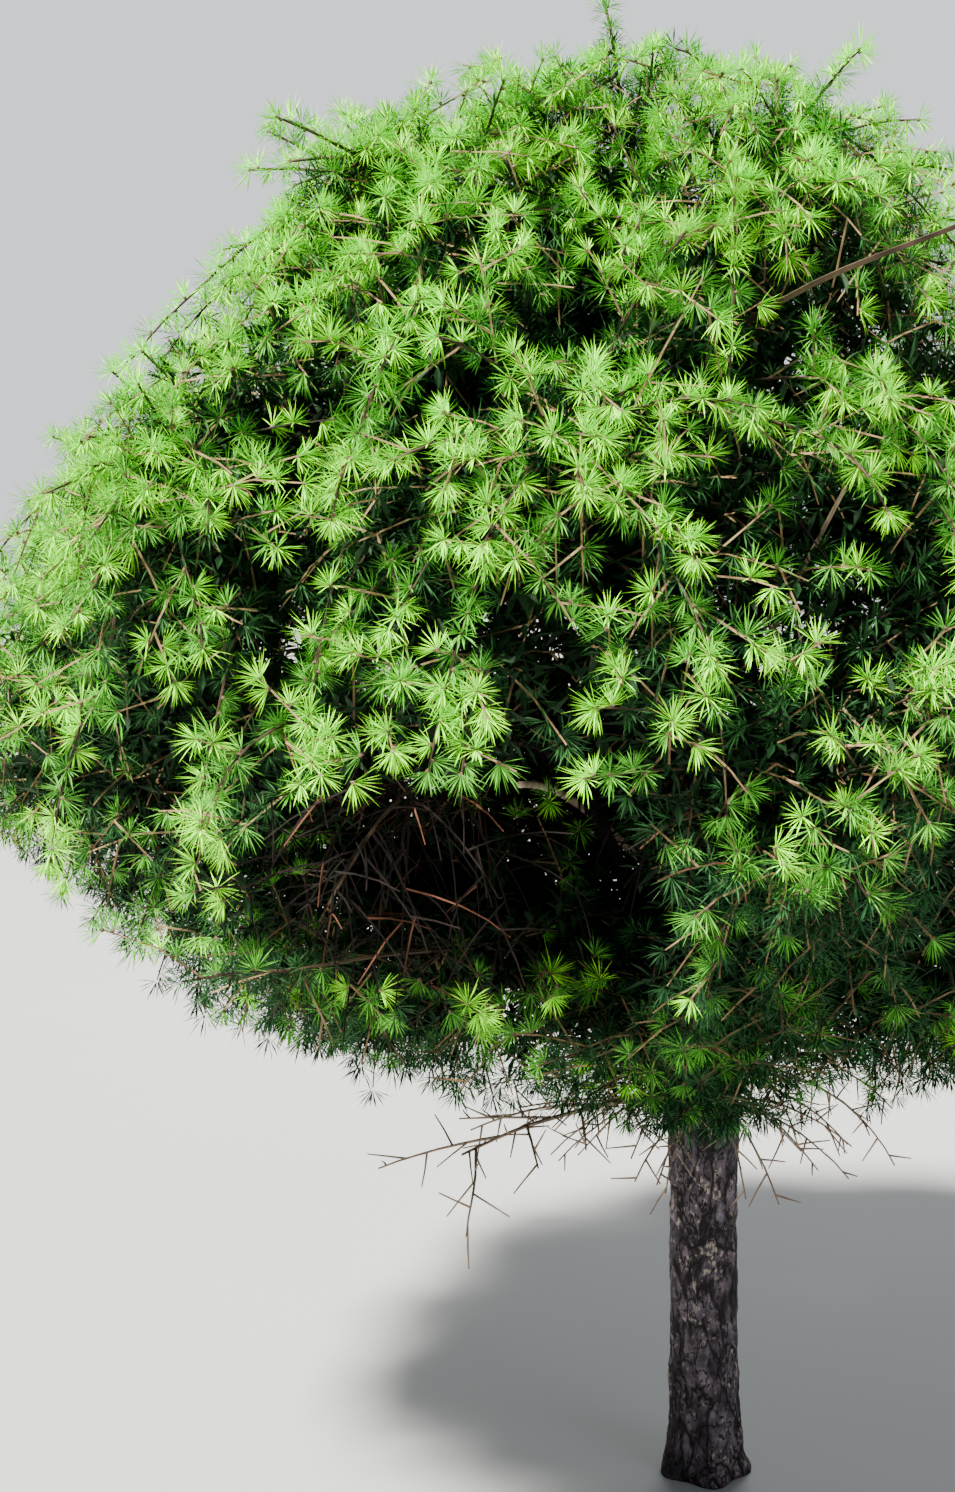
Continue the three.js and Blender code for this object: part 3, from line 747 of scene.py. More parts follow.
# The whole tree as paths: boughs, dead wood, and each mass's stem, shoots and fine twigs
def grow_tree():
    spacing = bpy.context.scene.larch_foliage.twig_spacing
    leader_top = bpy.context.scene.larch_trunk.leader_top
    masses = plan_masses()
    for mass in masses:
        others = [other for other in masses if other is not mass]
        mass.wall_middles = np.array([other.centre.lerp(mass.centre, 0.5) for other in others])
        mass.wall_normals = np.array([(other.centre - mass.centre).normalized() for other in others])
        mass.wood = None
        if mass.fork:
            tip = head_point(mass.azimuth, mass.centre.z - 0.01, mass.tier["bough"])
            mass.controls = arch_controls(mass.fork, tip, mass.tier["climb"])
            mass.wood = arch_wood(mass.controls, BOUGH_RADII)
    boughs = [mass.wood for mass in masses if mass.wood]
    trunk_heights = [leader_top * i / TRUNK_PIECES for i in range(TRUNK_PIECES + 1)]
    trunk = [(trunk_axis(z), trunk_radius(z)) for z in trunk_heights]
    carrier = next(mass.wood for mass in masses if mass.name == BARE_SHOOT_BOUGH)
    way_up = [carrier[3][0], BARE_SHOOT_FOOT, BARE_SHOOT_TIP]
    tree = SimpleNamespace(masses=masses, stub=arch_controls(STUB_FORK, STUB_TIP, 0.2))
    tree.bare_shoot = wood_along(route_points(way_up, 5), BARE_SHOOT_RADII)
    sound = [trunk, arch_wood(tree.stub, STUB_RADII), tree.bare_shoot] + boughs
    tree.dead_twigs = grow_dead_twigs(limb_pieces(sound))
    limbs = sound + tree.dead_twigs
    pieces = limb_pieces(limbs)
    for mass in masses:
        grow_mass(mass, trunk, limbs, pieces, spacing)
    stems = [wood_along(mass.stem, STEM_RADII) for mass in masses if mass.tier["climb"] < 0.5]
    tree.bare_twigs = grow_bare_twigs([trunk[5:]] + boughs + stems)
    masses += [grow_left_limb(number, pieces, spacing) for number in range(len(LEFT_LIMBS))]
    return tree


# The point at a share of a smooth curve through some points
def through_points(points, share):
    place = share * (len(points) - 1)
    i = min(int(place), len(points) - 2)
    t = place - i
    b, c = points[i], points[i + 1]
    a = points[i - 1] if i > 0 else b * 2 - c
    d = points[i + 2] if i + 2 < len(points) else c * 2 - b
    before, middle, after = [(end - start).length ** 0.5 for start, end in ((a, b), (b, c), (c, d))]
    leave = ((b - a) / before - (c - a) / (before + middle) + (c - b) / middle) * middle
    arrive = ((c - b) / middle - (d - b) / (middle + after) + (d - c) / after) * middle
    bend = (c - b) * 3 - leave * 2 - arrive
    twist = (b - c) * 2 + leave + arrive
    return b + leave * t + bend * t * t + twist * t**3


# A mass's stem, its side shoots, the shoots that hang or slope out of it, and the fine twigs on them all
def grow_mass(mass, trunk, limbs, pieces, spacing):
    own = mass.wood or trunk
    before, mass.start = [point for point, _ in own[-2:]]
    mass.heading = (mass.start - before).normalized()
    other_pieces = limb_pieces([wood for wood in limbs if wood is not own])
    most = TOP_LEVEL if mass.tier["climb"] > 0.8 else 1.0
    bare = 0.5 * (mass.centre - mass.start).length

    def stem_free(start, end):
        near = (end - mass.start).length < bare
        inside = near or in_space(mass, end, STEM_RADII[0], most)
        return inside and not touches_limb(start, end, STEM_RADII[0], other_pieces)

    def shoot_free(start, end):
        inside = in_space(mass, end, CLEARANCE + SHOOT_RADII[0])
        return inside and not touches_limb(start, end, SHOOT_RADII[0], pieces)

    def twig_free(start, end):
        inside = in_space(mass, end, -TWIG_CROSSING, TWIG_LEVEL - shortfall(end)) and in_reach(end)
        return inside and not touches_limb(start, end, TWIG_ROOM, pieces)

    def hanging_free(start, end):
        inside = head_level(end) < HANGING_LEVEL - shortfall(end) and in_reach(end) and not in_pocket(end)
        return inside and not touches_limb(start, end, HANGING_ROOM, pieces)

    mass.stem = grow_stem(mass, stem_free)
    mass.shoots = well_grown([grow_side(mass, i, shoot_free) for i in range(SHOOTS_PER_STEM)])
    draw = random_stream(mass.seed + SEEDS["twigs"])
    hanging = [grow_hanging(shoot, draw, hanging_free) for shoot in mass.shoots if mass.wood]
    low = round(LOW_SHOOTS * max(mass.tier["climb"], 0.7))
    high = HIGH_SHOOTS if mass.tier["climb"] < 0.2 else 0
    for slope, count in ((-0.45, low), (0.6, high)):
        hanging += [grow_sloping(mass.stem, slope, draw, hanging_free) for _ in range(count)]
    mass.hanging = well_grown(hanging)
    sag = mass.tier["sag"] + 0.03
    kind = (spacing, TWIG_SIZE, sag)
    side_kind = (SIDE_TWIG_SPACING * spacing, SIDE_TWIG_SIZE, sag)
    mass.twigs = []
    for shoot in [mass.stem] + mass.shoots + mass.hanging:
        twigs = grow_fine_twigs(shoot, kind, draw, twig_free)
        mass.twigs += twigs
        for twig in twigs:
            mass.twigs += grow_fine_twigs(twig, side_kind, draw, twig_free)


# A limb on the left with its own shoots and twigs, which takes its place among the masses
def grow_left_limb(number, pieces, spacing):
    limb = LEFT_LIMBS[number]
    draw = random_stream(SEEDS["left_limbs"] + number)

    def free(start, end):
        inside = head_level(end) < limb["most"] and end.z > LEFT_TWIG_LOWEST and not in_pocket(end)
        return inside and not touches_limb(start, end, TWIG_ROOM, pieces)

    stem = route_points(limb["route"], LEFT_LIMB_PIECES)
    leafy = stem[LEFT_LIMB_BARE_PIECES:]
    shoots = grow_fine_twigs(leafy, LEFT_SHOOTS, draw, free)
    kind = (spacing, LEFT_TWIG_SIZE, LEFT_TWIG_SAG)
    side_kind = (SIDE_TWIG_SPACING * spacing, LEFT_SIDE_TWIG_SIZE, LEFT_TWIG_SAG)
    twigs = []
    for shoot in [leafy] + shoots:
        twigs += grow_branched(shoot, kind, side_kind, draw, free)
    return SimpleNamespace(
        wood=None, seed=SEEDS["left_masses"] + number, gain=limb["gain"], stem=stem, shoots=[],
        hanging=shoots, twigs=twigs
    )


# Places along a twig for its sprays, each with the way that its spur points
def spray_places(twig, spacing, draw):
    count = max(1, int(path_length(twig) / spacing))
    turn = FULL_TURN * draw()
    places = []
    for k in range(count):
        point, heading = along_path(twig, (k + 0.25 + 0.5 * draw()) / count)
        turn += GOLDEN_ANGLE
        across = heading.cross(UP if abs(heading.z) < 0.9 else Vector((1, 0, 0)))
        side = (Matrix.Rotation(turn, 3, heading) @ across).normalized()
        places.append((point, (side + heading * 0.5 + UP * 0.35).normalized()))
    places.append((twig[-1].copy(), (twig[-1] - twig[-2]).normalized()))
    return places


# Whether needles grow at a point: out of the pocket, and further out than a level that differs a little
def is_leafy(point, level, draw):
    return not in_pocket(point) and level > lerp(*SHADY_LEVELS, draw())


# The sprays of the whole tree: where each stands, the way it points, how far out in the head it lies, and
# how much painted light it gains from the limb that it stands on. They are closest along a stem, then along
# shoots.
def place_sprays(tree):
    spacing = bpy.context.scene.larch_foliage.spray_spacing
    sprays = []
    taken = set()
    for mass in tree.masses:
        draw = random_stream(mass.seed + SEEDS["sprays"])
        limbs = [mass.stem[len(mass.stem) // 3:]] + mass.shoots + mass.hanging
        for number, twig in enumerate(limbs + mass.twigs):
            if len(twig) < 2:
                continue
            closeness = STEM_CLOSENESS if number == 0 else SHOOT_CLOSENESS if number < len(limbs) else 1
            for point, way in spray_places(twig, spacing * closeness, draw):
                cell = tuple(math.floor(side / SPRAY_ROOM) for side in point)
                crowded = cell in taken and number >= len(limbs)
                level = head_level(point)
                if not crowded and not before_bare(point) and is_leafy(point, level, draw):
                    taken.add(cell)
                    sprays.append((point, way, level, mass.gain if level > GAIN_LEVEL else 0))
    draw = random_stream(SEEDS["bare_sprays"])
    for twig in tree.bare_twigs:
        for point, way in spray_places(twig, spacing, draw):
            level = head_level(point)
            if is_leafy(point, level, draw) and point.z > BARE_SPRAY_LOWEST:
                sprays.append((point, way, level, 0))
    return [np.array(column) for column in zip(*sprays)]


# How much light reaches each spray, from about 0 to 1, to be painted into its colour: less for each spray
# between it and the open air, and for each spray between it and the sun that it lies more open to
def light_at(points):
    rng = np.random.default_rng(SEEDS["light"])
    low = points.min(axis=0)
    size = np.ceil((points.max(axis=0) - low) / LIGHT_CELL).astype(int) + 1
    counts = np.zeros(size)
    np.add.at(counts, tuple(((points - low) / LIGHT_CELL).astype(int).T), 1)
    out = points - np.array(head_axis(HEAD_WAIST))
    out /= np.linalg.norm(out, axis=1, keepdims=True)
    blocked = []
    for way in (out, *np.array(SUNS)):
        passed = np.zeros(len(points))
        for step in range(1, LIGHT_STEPS + 1):
            ahead = np.floor((points + way * LIGHT_CELL * step - low) / LIGHT_CELL).astype(int)
            inside = ((ahead >= 0) & (ahead < size)).all(axis=1)
            passed[inside] += counts[tuple(ahead[inside].T)]
        blocked.append(passed)
    nearest = np.minimum(blocked[1], blocked[2] + BACK_SUN_LOSS)
    light = np.exp(-0.5 * LIGHT_LOSS * (blocked[0] + nearest))
    return light + rng.uniform(-LIGHT_SPREAD, LIGHT_SPREAD, len(points))


# Two directions square to each of an array of directions
def square_to(ways):
    helper = np.where(np.abs(ways[..., 2:3]) < 0.9, [[0.0, 0.0, 1.0]], [[1.0, 0.0, 0.0]])
    first = np.cross(ways, helper)
    first /= np.linalg.norm(first, axis=-1, keepdims=True)
    return first, np.cross(ways, first)


# Corners and faces of the needles of some sprays. Each needle is a slim blade folded along its middle.
def needle_arrays(points, ways, needles, width, stretch, seed):
    rng = np.random.default_rng(seed)
    sprays = len(points)
    first, second = square_to(ways)
    rank = (np.arange(needles) + 0.5) / needles
    rise = lerp(*NEEDLE_RISE, rank)[None, :] + rng.uniform(-0.08, 0.08, (sprays, needles))
    turn = np.arange(needles)[None, :] * GOLDEN_ANGLE + rng.uniform(0, FULL_TURN, (sprays, 1))
    turn = turn + rng.uniform(-0.3, 0.3, (sprays, needles))
    flat = np.sqrt(np.clip(1 - rise**2, 0, 1))
    way = (
        ways[:, None] * rise[..., None]
        + first[:, None] * (flat * np.cos(turn))[..., None]
        + second[:, None] * (flat * np.sin(turn))[..., None]
    )
    way[..., 2] -= NEEDLE_DROOP
    way /= np.linalg.norm(way, axis=-1, keepdims=True)
    full = stretch * bpy.context.scene.larch_foliage.needle_length
    length = full * rng.uniform(*SPRAY_LENGTHS, (sprays, 1, 1))
    length = length * rng.uniform(*NEEDLE_LENGTHS, (sprays, needles, 1))
    half = width / 2
    side, other = square_to(way)
    root = points[:, None] + ways[:, None] * 0.002 + way * 0.001
    fold = np.cross(side, way) * half * NEEDLE_FOLD
    left = root + way * length * 0.5 + side * half + fold
    right = root + way * length * 0.6 - side * half + fold
    corners = np.stack([root, left, right, root + way * length], axis=2).reshape(-1, 3)
    faces = np.array([[0, 3, 1], [0, 2, 3]])
    starts = np.arange(sprays * needles)[:, None, None] * 4
    return corners, (faces[None] + starts).reshape(-1, 3)


# Corners and faces of the spurs: a small knob of six faces under each spray
def spur_arrays(points, ways):
    rng = np.random.default_rng(SEEDS["spurs"])
    first, second = square_to(ways)
    size = rng.uniform(*SPUR_RADII, (len(points), 1))
    rims = [first * size, (0.87 * second - 0.5 * first) * size, (-0.87 * second - 0.5 * first) * size]
    foot, belt, top = (points + ways * height for height in SPUR_HEIGHTS)
    corners = np.stack([foot] + [belt + rim for rim in rims] + [top], axis=1)
    faces = []
    for k in range(3):
        following = 1 + (k + 1) % 3
        faces += [[0, following, 1 + k], [4, 1 + k, following]]
    starts = np.arange(len(points))[:, None, None] * 5
    return corners.reshape(-1, 3), (np.array(faces)[None] + starts).reshape(-1, 3)


# Side directions that follow a path without twisting about it
def path_frames(path):
    frames = []
    side = None
    for i, (point, radius) in enumerate(path):
        heading = (path[min(i + 1, len(path) - 1)][0] - path[max(i - 1, 0)][0]).normalized()
        if side is None:
            side = Vector((1, 0, 0)) if abs(heading.z) > 0.9 else UP
        side = (side - heading * side.dot(heading)).normalized()
        frames.append((point, radius, side, heading.cross(side)))
    return frames


# Corners and faces of closed tubes along many paths of wood
def tube_arrays(paths, sides):
    corners, faces = [], []
    for path in paths:
        base = len(corners)
        for point, radius, side, other in path_frames(path):
            for k in range(sides):
                angle = math.tau * k / sides
                corners.append(point + (side * math.cos(angle) + other * math.sin(angle)) * radius)
        rings = len(path)
        for ring in range(rings - 1):
            for k in range(sides):
                a = base + ring * sides + k
                b = base + ring * sides + (k + 1) % sides
                faces += [(a, b, b + sides), (a, b + sides, a + sides)]
        last = base + (rings - 1) * sides
        faces += [(base, base + k + 1, base + k) for k in range(1, sides - 1)]
        faces += [(last, last + k, last + k + 1) for k in range(1, sides - 1)]
    return np.array([tuple(corner) for corner in corners]), np.array(faces)


def half_the_points(path):
    return path[:-1:2] + path[-1:]


# Gives a piece its slot and the nodes that it replaces
def settle(piece, nodes):
    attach(piece, "root")
    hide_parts(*nodes)


# A finished piece from arrays of its corners and faces
def add_piece(name, arrays, material, nodes):
    corners, faces = arrays
    mesh = bpy.data.meshes.new(name)
    mesh.from_pydata(corners, [], faces)
    mesh.update()
    mesh.materials.append(material)
    piece = bpy.data.objects.new(name, mesh)
    bpy.context.scene.collection.objects.link(piece)
    settle(piece, nodes)


def nodes_named(start):
    return sorted(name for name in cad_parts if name.startswith(start))


def start_alone():
    if bpy.context.mode != "OBJECT":
        bpy.ops.object.mode_set(mode="OBJECT")
    bpy.ops.object.select_all(action="DESELECT")


def new_material(name, roughness, shine):
    material = bpy.data.materials.new(name)
    material.use_nodes = True
    shader = material.node_tree.nodes["Principled BSDF"]
    shader.inputs["Roughness"].default_value = roughness
    shader.inputs["Specular IOR Level"].default_value = shine
    return material, material.node_tree, shader


# Sets a socket to a number or colour, or links it to another node's socket
def feed(tree, socket, value):
    if isinstance(value, bpy.types.NodeSocket):
        tree.links.new(value, socket)
    else:
        socket.default_value = value


def add_node(tree, kind, **sockets):
    node = tree.nodes.new(f"ShaderNode{kind}")
    for name, value in sockets.items():
        feed(tree, node.inputs[name.replace("_", " ")], value)
    return node


# Noise over a piece, squeezed along its axes
def add_noise(tree, scale, detail, squeeze=(1, 1, 1), **sockets):
    place = add_node(tree, "TexCoord").outputs["Object"]
    squeezed = add_node(tree, "Mapping", Vector=place, Scale=squeeze).outputs["Vector"]
    noise = add_node(tree, "TexNoise", Vector=squeezed, Scale=scale, Detail=detail, **sockets)
    return noise.outputs["Fac"]


# A ramp of colours over a value, from stops in rising order
def add_ramp(tree, value, stops):
    ramp = add_node(tree, "ValToRGB", Fac=value)
    elements = ramp.color_ramp.elements
    for place, _ in stops[1:-1]:
        elements.new(place)
    for element, (place, color) in zip(elements, stops):
        element.position = place
        element.color = (*color, 1)
    return ramp.outputs["Color"]


def add_math(tree, operation, *values):
    node = add_node(tree, "Math")
    node.operation = operation
    for socket, value in zip(node.inputs, values):
        feed(tree, socket, value)
    return node.outputs["Value"]


def add_mix(tree, share, first, second):
    mix = add_node(tree, "Mix")
    mix.data_type = "RGBA"
    for name, value in (("Factor", share), ("A", first), ("B", second)):
        feed(tree, mix.inputs[name], value)
    return mix.outputs["Result"]


def add_step(tree, value, low, high):
    step = add_node(tree, "MapRange", Value=value, From_Min=low, From_Max=high)
    step.interpolation_type = "SMOOTHSTEP"
    return step.outputs["Result"]


def scaled(color, factor):
    return tuple(min(1.0, channel * factor) for channel in color)


# A finish whose colour drifts between a darker and a lighter shade
def drifting_material(name, color, roughness, scale, spread, shine=0.5):
    material, tree, shader = new_material(name, roughness, shine)
    stops = [(0.35, scaled(color, 1 - spread)), (0.65, scaled(color, 1 + spread))]
    tree.links.new(add_ramp(tree, add_noise(tree, scale, 2), stops), shader.inputs["Base Color"])
    return material


# Thin branching cracks: 0 along a crack and 1 away from it
def add_cracks(tree, scale, thin):
    noise = add_noise(tree, scale, 3, (1, 1, 0.42), Distortion=0.5)
    away = add_math(tree, "ABSOLUTE", add_math(tree, "SUBTRACT", noise, 0.5))
    return add_step(tree, away, 0.0, thin)


# Rough bark: plates of uneven tone, darker where the relief is low, long and short dark cracks between them,
# and small dry flakes in patches. The darkening in the cracks and low relief is partly the bark's own tone and
# partly painted shade.
def bark_material(name, fissure, plate, flake, width):
    material, tree, shader = new_material(name, 0.85, 0.25)
    long_cracks = add_cracks(tree, 0.6 / width, 0.055)
    cracks = add_math(tree, "MULTIPLY", long_cracks, add_cracks(tree, 1.9 / width, 0.035))
    patches = add_noise(tree, 0.35 / width, 3)
    tone = add_noise(tree, 1.1 / width, 8, (1, 1, 0.6), Roughness=0.72)
    flecks = add_noise(tree, 3.2 / width, 5, (1, 1, 0.7))
    attribute = add_node(tree, "Attribute")
    attribute.attribute_name = "relief"
    relief = attribute.outputs["Fac"]
    # The plates are painted darker where the relief is low: partly the bark's own tone, partly painted shade
    # in its hollows
    shades = ((0.42, 0.3), (0.54, 0.8), (0.64, 1.5), (0.74, 2.7))
    stops = [(place, scaled(plate, factor)) for place, factor in shades]
    plates = add_ramp(tree, add_math(tree, "MULTIPLY_ADD", relief, 0.16, tone), stops)
    dry = add_math(tree, "MULTIPLY_ADD", patches, 0.7, flecks)
    flakes = add_step(tree, add_math(tree, "MULTIPLY_ADD", relief, 0.12, dry), 1.0, 1.14)
    sound = add_mix(tree, flakes, plates, (*flake, 1))
    tree.links.new(add_mix(tree, cracks, (*fissure, 1), sound), shader.inputs["Base Color"])
    height = add_math(tree, "MULTIPLY_ADD", tone, 1.6, cracks)
    height = add_math(tree, "MULTIPLY_ADD", flakes, 0.3, height)
    bump = add_node(tree, "Bump", Strength=1.0, Distance=0.14 * width, Height=height)
    tree.links.new(bump.outputs["Normal"], shader.inputs["Normal"])
    return material


# A texture of soft lumps, or of lumps with creases between them
def relief_texture(kind, size):
    texture = bpy.data.textures.new("relief", "CLOUDS")
    texture.noise_scale = size
    texture.noise_depth = 4
    texture.noise_type = kind
    return texture


# Raises plates and scales out of a mesh, and keeps how high each corner ended up
def raise_bark(piece, plate_size, depth, stretch, fade=None):
    before = corner_values(piece, "co")
    normals = corner_values(piece, "normal")
    bpy.ops.object.empty_add(location=(0, 0, 0))
    guide = bpy.context.object
    guide.scale = (1, 1, stretch)
    start_alone()
    bpy.context.view_layer.objects.active = piece
    piece.select_set(True)
    reliefs = [
        ("SOFT_NOISE", 1.6 * plate_size, 1.3 * depth),
        ("HARD_NOISE", 0.8 * plate_size, -1.3 * depth),
        ("SOFT_NOISE", 0.3 * plate_size, 0.7 * depth),
    ]
    for kind, size, strength in reliefs:
        texture = relief_texture(kind, size)
        modifier = piece.modifiers.new(texture.name, "DISPLACE")
        modifier.texture = texture
        modifier.texture_coords = "OBJECT"
        modifier.texture_coords_object = guide
        modifier.strength = strength
        if fade:
            modifier.vertex_group = fade
        bpy.ops.object.modifier_apply(modifier=modifier.name)
        bpy.data.textures.remove(texture)
    bpy.data.objects.remove(guide)
    rise = np.einsum("ij,ij->i", corner_values(piece, "co") - before, normals)
    low, high = np.percentile(rise, [2, 98])
    relief = piece.data.attributes.new("relief", "FLOAT", "POINT")
    relief.data.foreach_set("value", np.clip((rise - low) / (high - low), 0, 1).astype(np.float32))


# What is kept for each corner of a mesh, such as its place or its normal
def corner_values(piece, kept):
    values = np.zeros(len(piece.data.vertices) * 3, np.float32)
    piece.data.vertices.foreach_get(kept, values)
    return values.reshape(-1, 3).astype(float)


# Swells the foot of the trunk into root lobes, and keeps its cut flat on the ground
def swell_roots(piece):
    for vertex in piece.data.vertices:
        away = vertex.co - trunk_axis(vertex.co.z)
        lobe = LOBE_DEPTH * math.exp(-vertex.co.z / FLARE_HEIGHT)
        lobe *= math.cos(FLARE_LOBES * math.atan2(away.y, away.x) + 1)
        vertex.co.x += away.x * lobe
        vertex.co.y += away.y * lobe
        if vertex.co.z < FOOT_EDGE:
            vertex.co.z = 0


# Heights of the rings of the trunk: close together up to a little above the graft and wider inside the head
def ring_heights(graft, top):
    change = graft + 0.04
    stem = np.linspace(0, change, STEM_RINGS)
    leader = np.linspace(change, top, LEADER_RINGS)[1:]
    return [float(z) for z in np.concatenate([stem, leader])]


class LARCH_OT_trunk(bpy.types.Operator):
    """Extrudes the trunk ring by ring from the ground to its leader and raises its bark"""

    bl_idname = "larch.trunk"
    bl_label = "Trunk"

    def execute(self, context):
        trunk = context.scene.larch_trunk
        start_alone()
        heights = ring_heights(trunk.graft_height, trunk.leader_top)
        bpy.ops.mesh.primitive_circle_add(
            vertices=TRUNK_SIDES, radius=trunk_radius(0), fill_type="NGON", location=(0, 0, 0)
        )
        piece = context.object
        piece.name = "trunk_bark"
        bpy.ops.object.mode_set(mode="EDIT")
        bpy.ops.mesh.select_all(action="SELECT")
        bpy.ops.transform.edge_crease(value=1)
        for low, high in zip(heights, heights[1:]):
            shift = trunk_axis(high) - trunk_axis(low)
            bpy.ops.mesh.extrude_region_move(TRANSFORM_OT_translate={"value": shift})
            growth = trunk_radius(high) / trunk_radius(low)
            bpy.ops.transform.resize(value=(growth, growth, 1), center_override=trunk_axis(high))
        bpy.ops.mesh.select_all(action="SELECT")
        bpy.ops.mesh.normals_make_consistent(inside=False)
        bpy.ops.object.mode_set(mode="OBJECT")
        rounding = piece.modifiers.new("rounding", "SUBSURF")
        rounding.levels = rounding.render_levels = 2
        bpy.ops.object.modifier_apply(modifier="rounding")
        fade = piece.vertex_groups.new(name="bark")
        for vertex in piece.data.vertices:
            foot = clamp((vertex.co.z - FOOT_EDGE) / FOOT_FADE)
            slim = lerp(0.3, 1, trunk_radius(vertex.co.z) / trunk_radius(0.2))
            fade.add([vertex.index], foot * slim, "REPLACE")
        raise_bark(piece, plate_size=0.024, depth=trunk.plate_depth, stretch=2.2, fade="bark")
        swell_roots(piece)
        bpy.ops.object.shade_smooth()
        bark = bark_material("Trunk bark", trunk.fissure, trunk.plate, trunk.flake, width=0.02)
        piece.data.materials.append(bark)
        settle(piece, ["trunk"])
        return {"FINISHED"}


# A limb from one curve with its four control points, as a closed mesh
def limb_from_curve(name, controls, radii, steps):
    bpy.ops.curve.primitive_bezier_curve_add(location=(0, 0, 0))
    limb = bpy.context.object
    limb.name = name
    limb.data.dimensions = "3D"
    limb.data.resolution_u = steps
    limb.data.bevel_depth = 1
    limb.data.bevel_resolution = 4
    limb.data.use_fill_caps = True
    first, last = limb.data.splines[0].bezier_points
    for end in (first, last):
        end.handle_left_type = end.handle_right_type = "FREE"
    first.co, first.handle_right, last.handle_left, last.co = controls
    first.handle_left = controls[0] * 2 - controls[1]
    last.handle_right = controls[3] * 2 - controls[2]
    first.radius, last.radius = radii
    bpy.ops.object.convert(target="MESH")
    bpy.ops.object.mode_set(mode="EDIT")
    bpy.ops.mesh.select_all(action="SELECT")
    bpy.ops.mesh.remove_doubles(threshold=0.00005)
    bpy.ops.mesh.normals_make_consistent(inside=False)
    bpy.ops.object.mode_set(mode="OBJECT")
    bpy.ops.object.select_all(action="DESELECT")
    return limb


def join_pieces(pieces, name):
    start_alone()
    for piece in pieces:
        piece.select_set(True)
    bpy.context.view_layer.objects.active = pieces[0]
    bpy.ops.object.join()
    pieces[0].name = name
    return pieces[0]


class LARCH_OT_boughs(bpy.types.Operator):
    """Draws each bough as one curve from the trunk to its tip and raises its bark"""

    bl_idname = "larch.boughs"
    bl_label = "Boughs"

    def execute(self, context):
        color = context.scene.larch_wood.bough
        masses = [mass for mass in grow_tree().masses if mass.wood]
        start_alone()
        limbs = [limb_from_curve("bough", mass.controls, BOUGH_RADII, steps=44) for mass in masses]
        piece = join_pieces(limbs, "bough_bark")
        raise_bark(piece, plate_size=0.009, depth=0.0022, stretch=1.6)
        bpy.ops.object.shade_smooth()
        bark = bark_material("Bough bark", scaled(color, 0.3), color, scaled(color, 2.6), width=0.008)
        piece.data.materials.append(bark)
        settle(piece, nodes_named("bough_"))
        return {"FINISHED"}


class LARCH_OT_dead_wood(bpy.types.Operator):
    """Adds the broken stub, the bare shoot and the dead twigs by the graft"""

    bl_idname = "larch.dead_wood"
    bl_label = "Dead wood"

    def execute(self, context):
        wood = context.scene.larch_wood
        tree = grow_tree()
        start_alone()
        stub = limb_from_curve("broken_stub", tree.stub, STUB_RADII, steps=40)
        dead = tree.dead_twigs + grow_graft_twigs()
        twigs = tube_arrays([tree.bare_shoot] + dead + grow_dead_ends(dead), sides=6)
        material = drifting_material("Dead wood", wood.dead, roughness=0.85, scale=60, spread=0.45)
        add_piece("dead_wood", twigs, material, ["dead_shoot", "dead_twigs"])
        # Weathered wood with painted light: the stub is kept pale in the shade under the head
        weathered_and_lit = drifting_material(
            "Broken stub", wood.broken, roughness=0.8, scale=90, spread=0.35, shine=0.2
        )
        stub.data.materials.append(weathered_and_lit)
        settle(stub, ["dead_stub"])
        return {"FINISHED"}


class LARCH_OT_twigs(bpy.types.Operator):
    """Adds the stems, shoots and fine twigs of every mass of foliage"""

    bl_idname = "larch.twigs"
    bl_label = "Twigs"

    def execute(self, context):
        wood = context.scene.larch_wood
        tree = grow_tree()
        masses = nodes_named("foliage_")
        shoots, bare_shoots = split_at_pocket([shoot for mass in tree.masses for shoot in mass.shoots])
        twigs, fine_twigs = split_at_pocket([twig for mass in tree.masses for twig in mass.twigs])
        old = [wood_along(route_points(LONG_LIMB, 24), LONG_LIMB_RADII)]
        old += drawn_along([mass.stem for mass in tree.masses], "stem")
        old += drawn_along(shoots, "shoot")
        old += drawn_along([shoot for mass in tree.masses for shoot in mass.hanging], "hanging")
        young = drawn_along([half_the_points(twig) for twig in twigs], "young")
        fine = drawn_along(fine_twigs, "fine")
        bare = drawn_along(bare_shoots, "bare")
        bare += [twig for i, twig in enumerate(fine) if i % RED_TWIG_EVERY]
        bare += drawn_along([half_the_points(twig) for twig in tree.bare_twigs], "bare")
        # The bare twigs carry painted shade, near black, while one fine twig of the pocket in RED_TWIG_EVERY
        # keeps its reddish bark
        for kind, paths, sides, color in [
            ("old", old, 4, wood.old_twig),
            ("young", young, 3, wood.young_twig),
            ("red", fine[::RED_TWIG_EVERY], 3, wood.red_twig),
            ("bare", bare, 3, wood.bare_twig),
        ]:
            material = drifting_material(
                f"Twigs {kind}", color, roughness=0.8, scale=40, spread=0.4, shine=0.15
            )
            add_piece(f"twigs_{kind}", tube_arrays(paths, sides), material, masses)
        return {"FINISHED"}


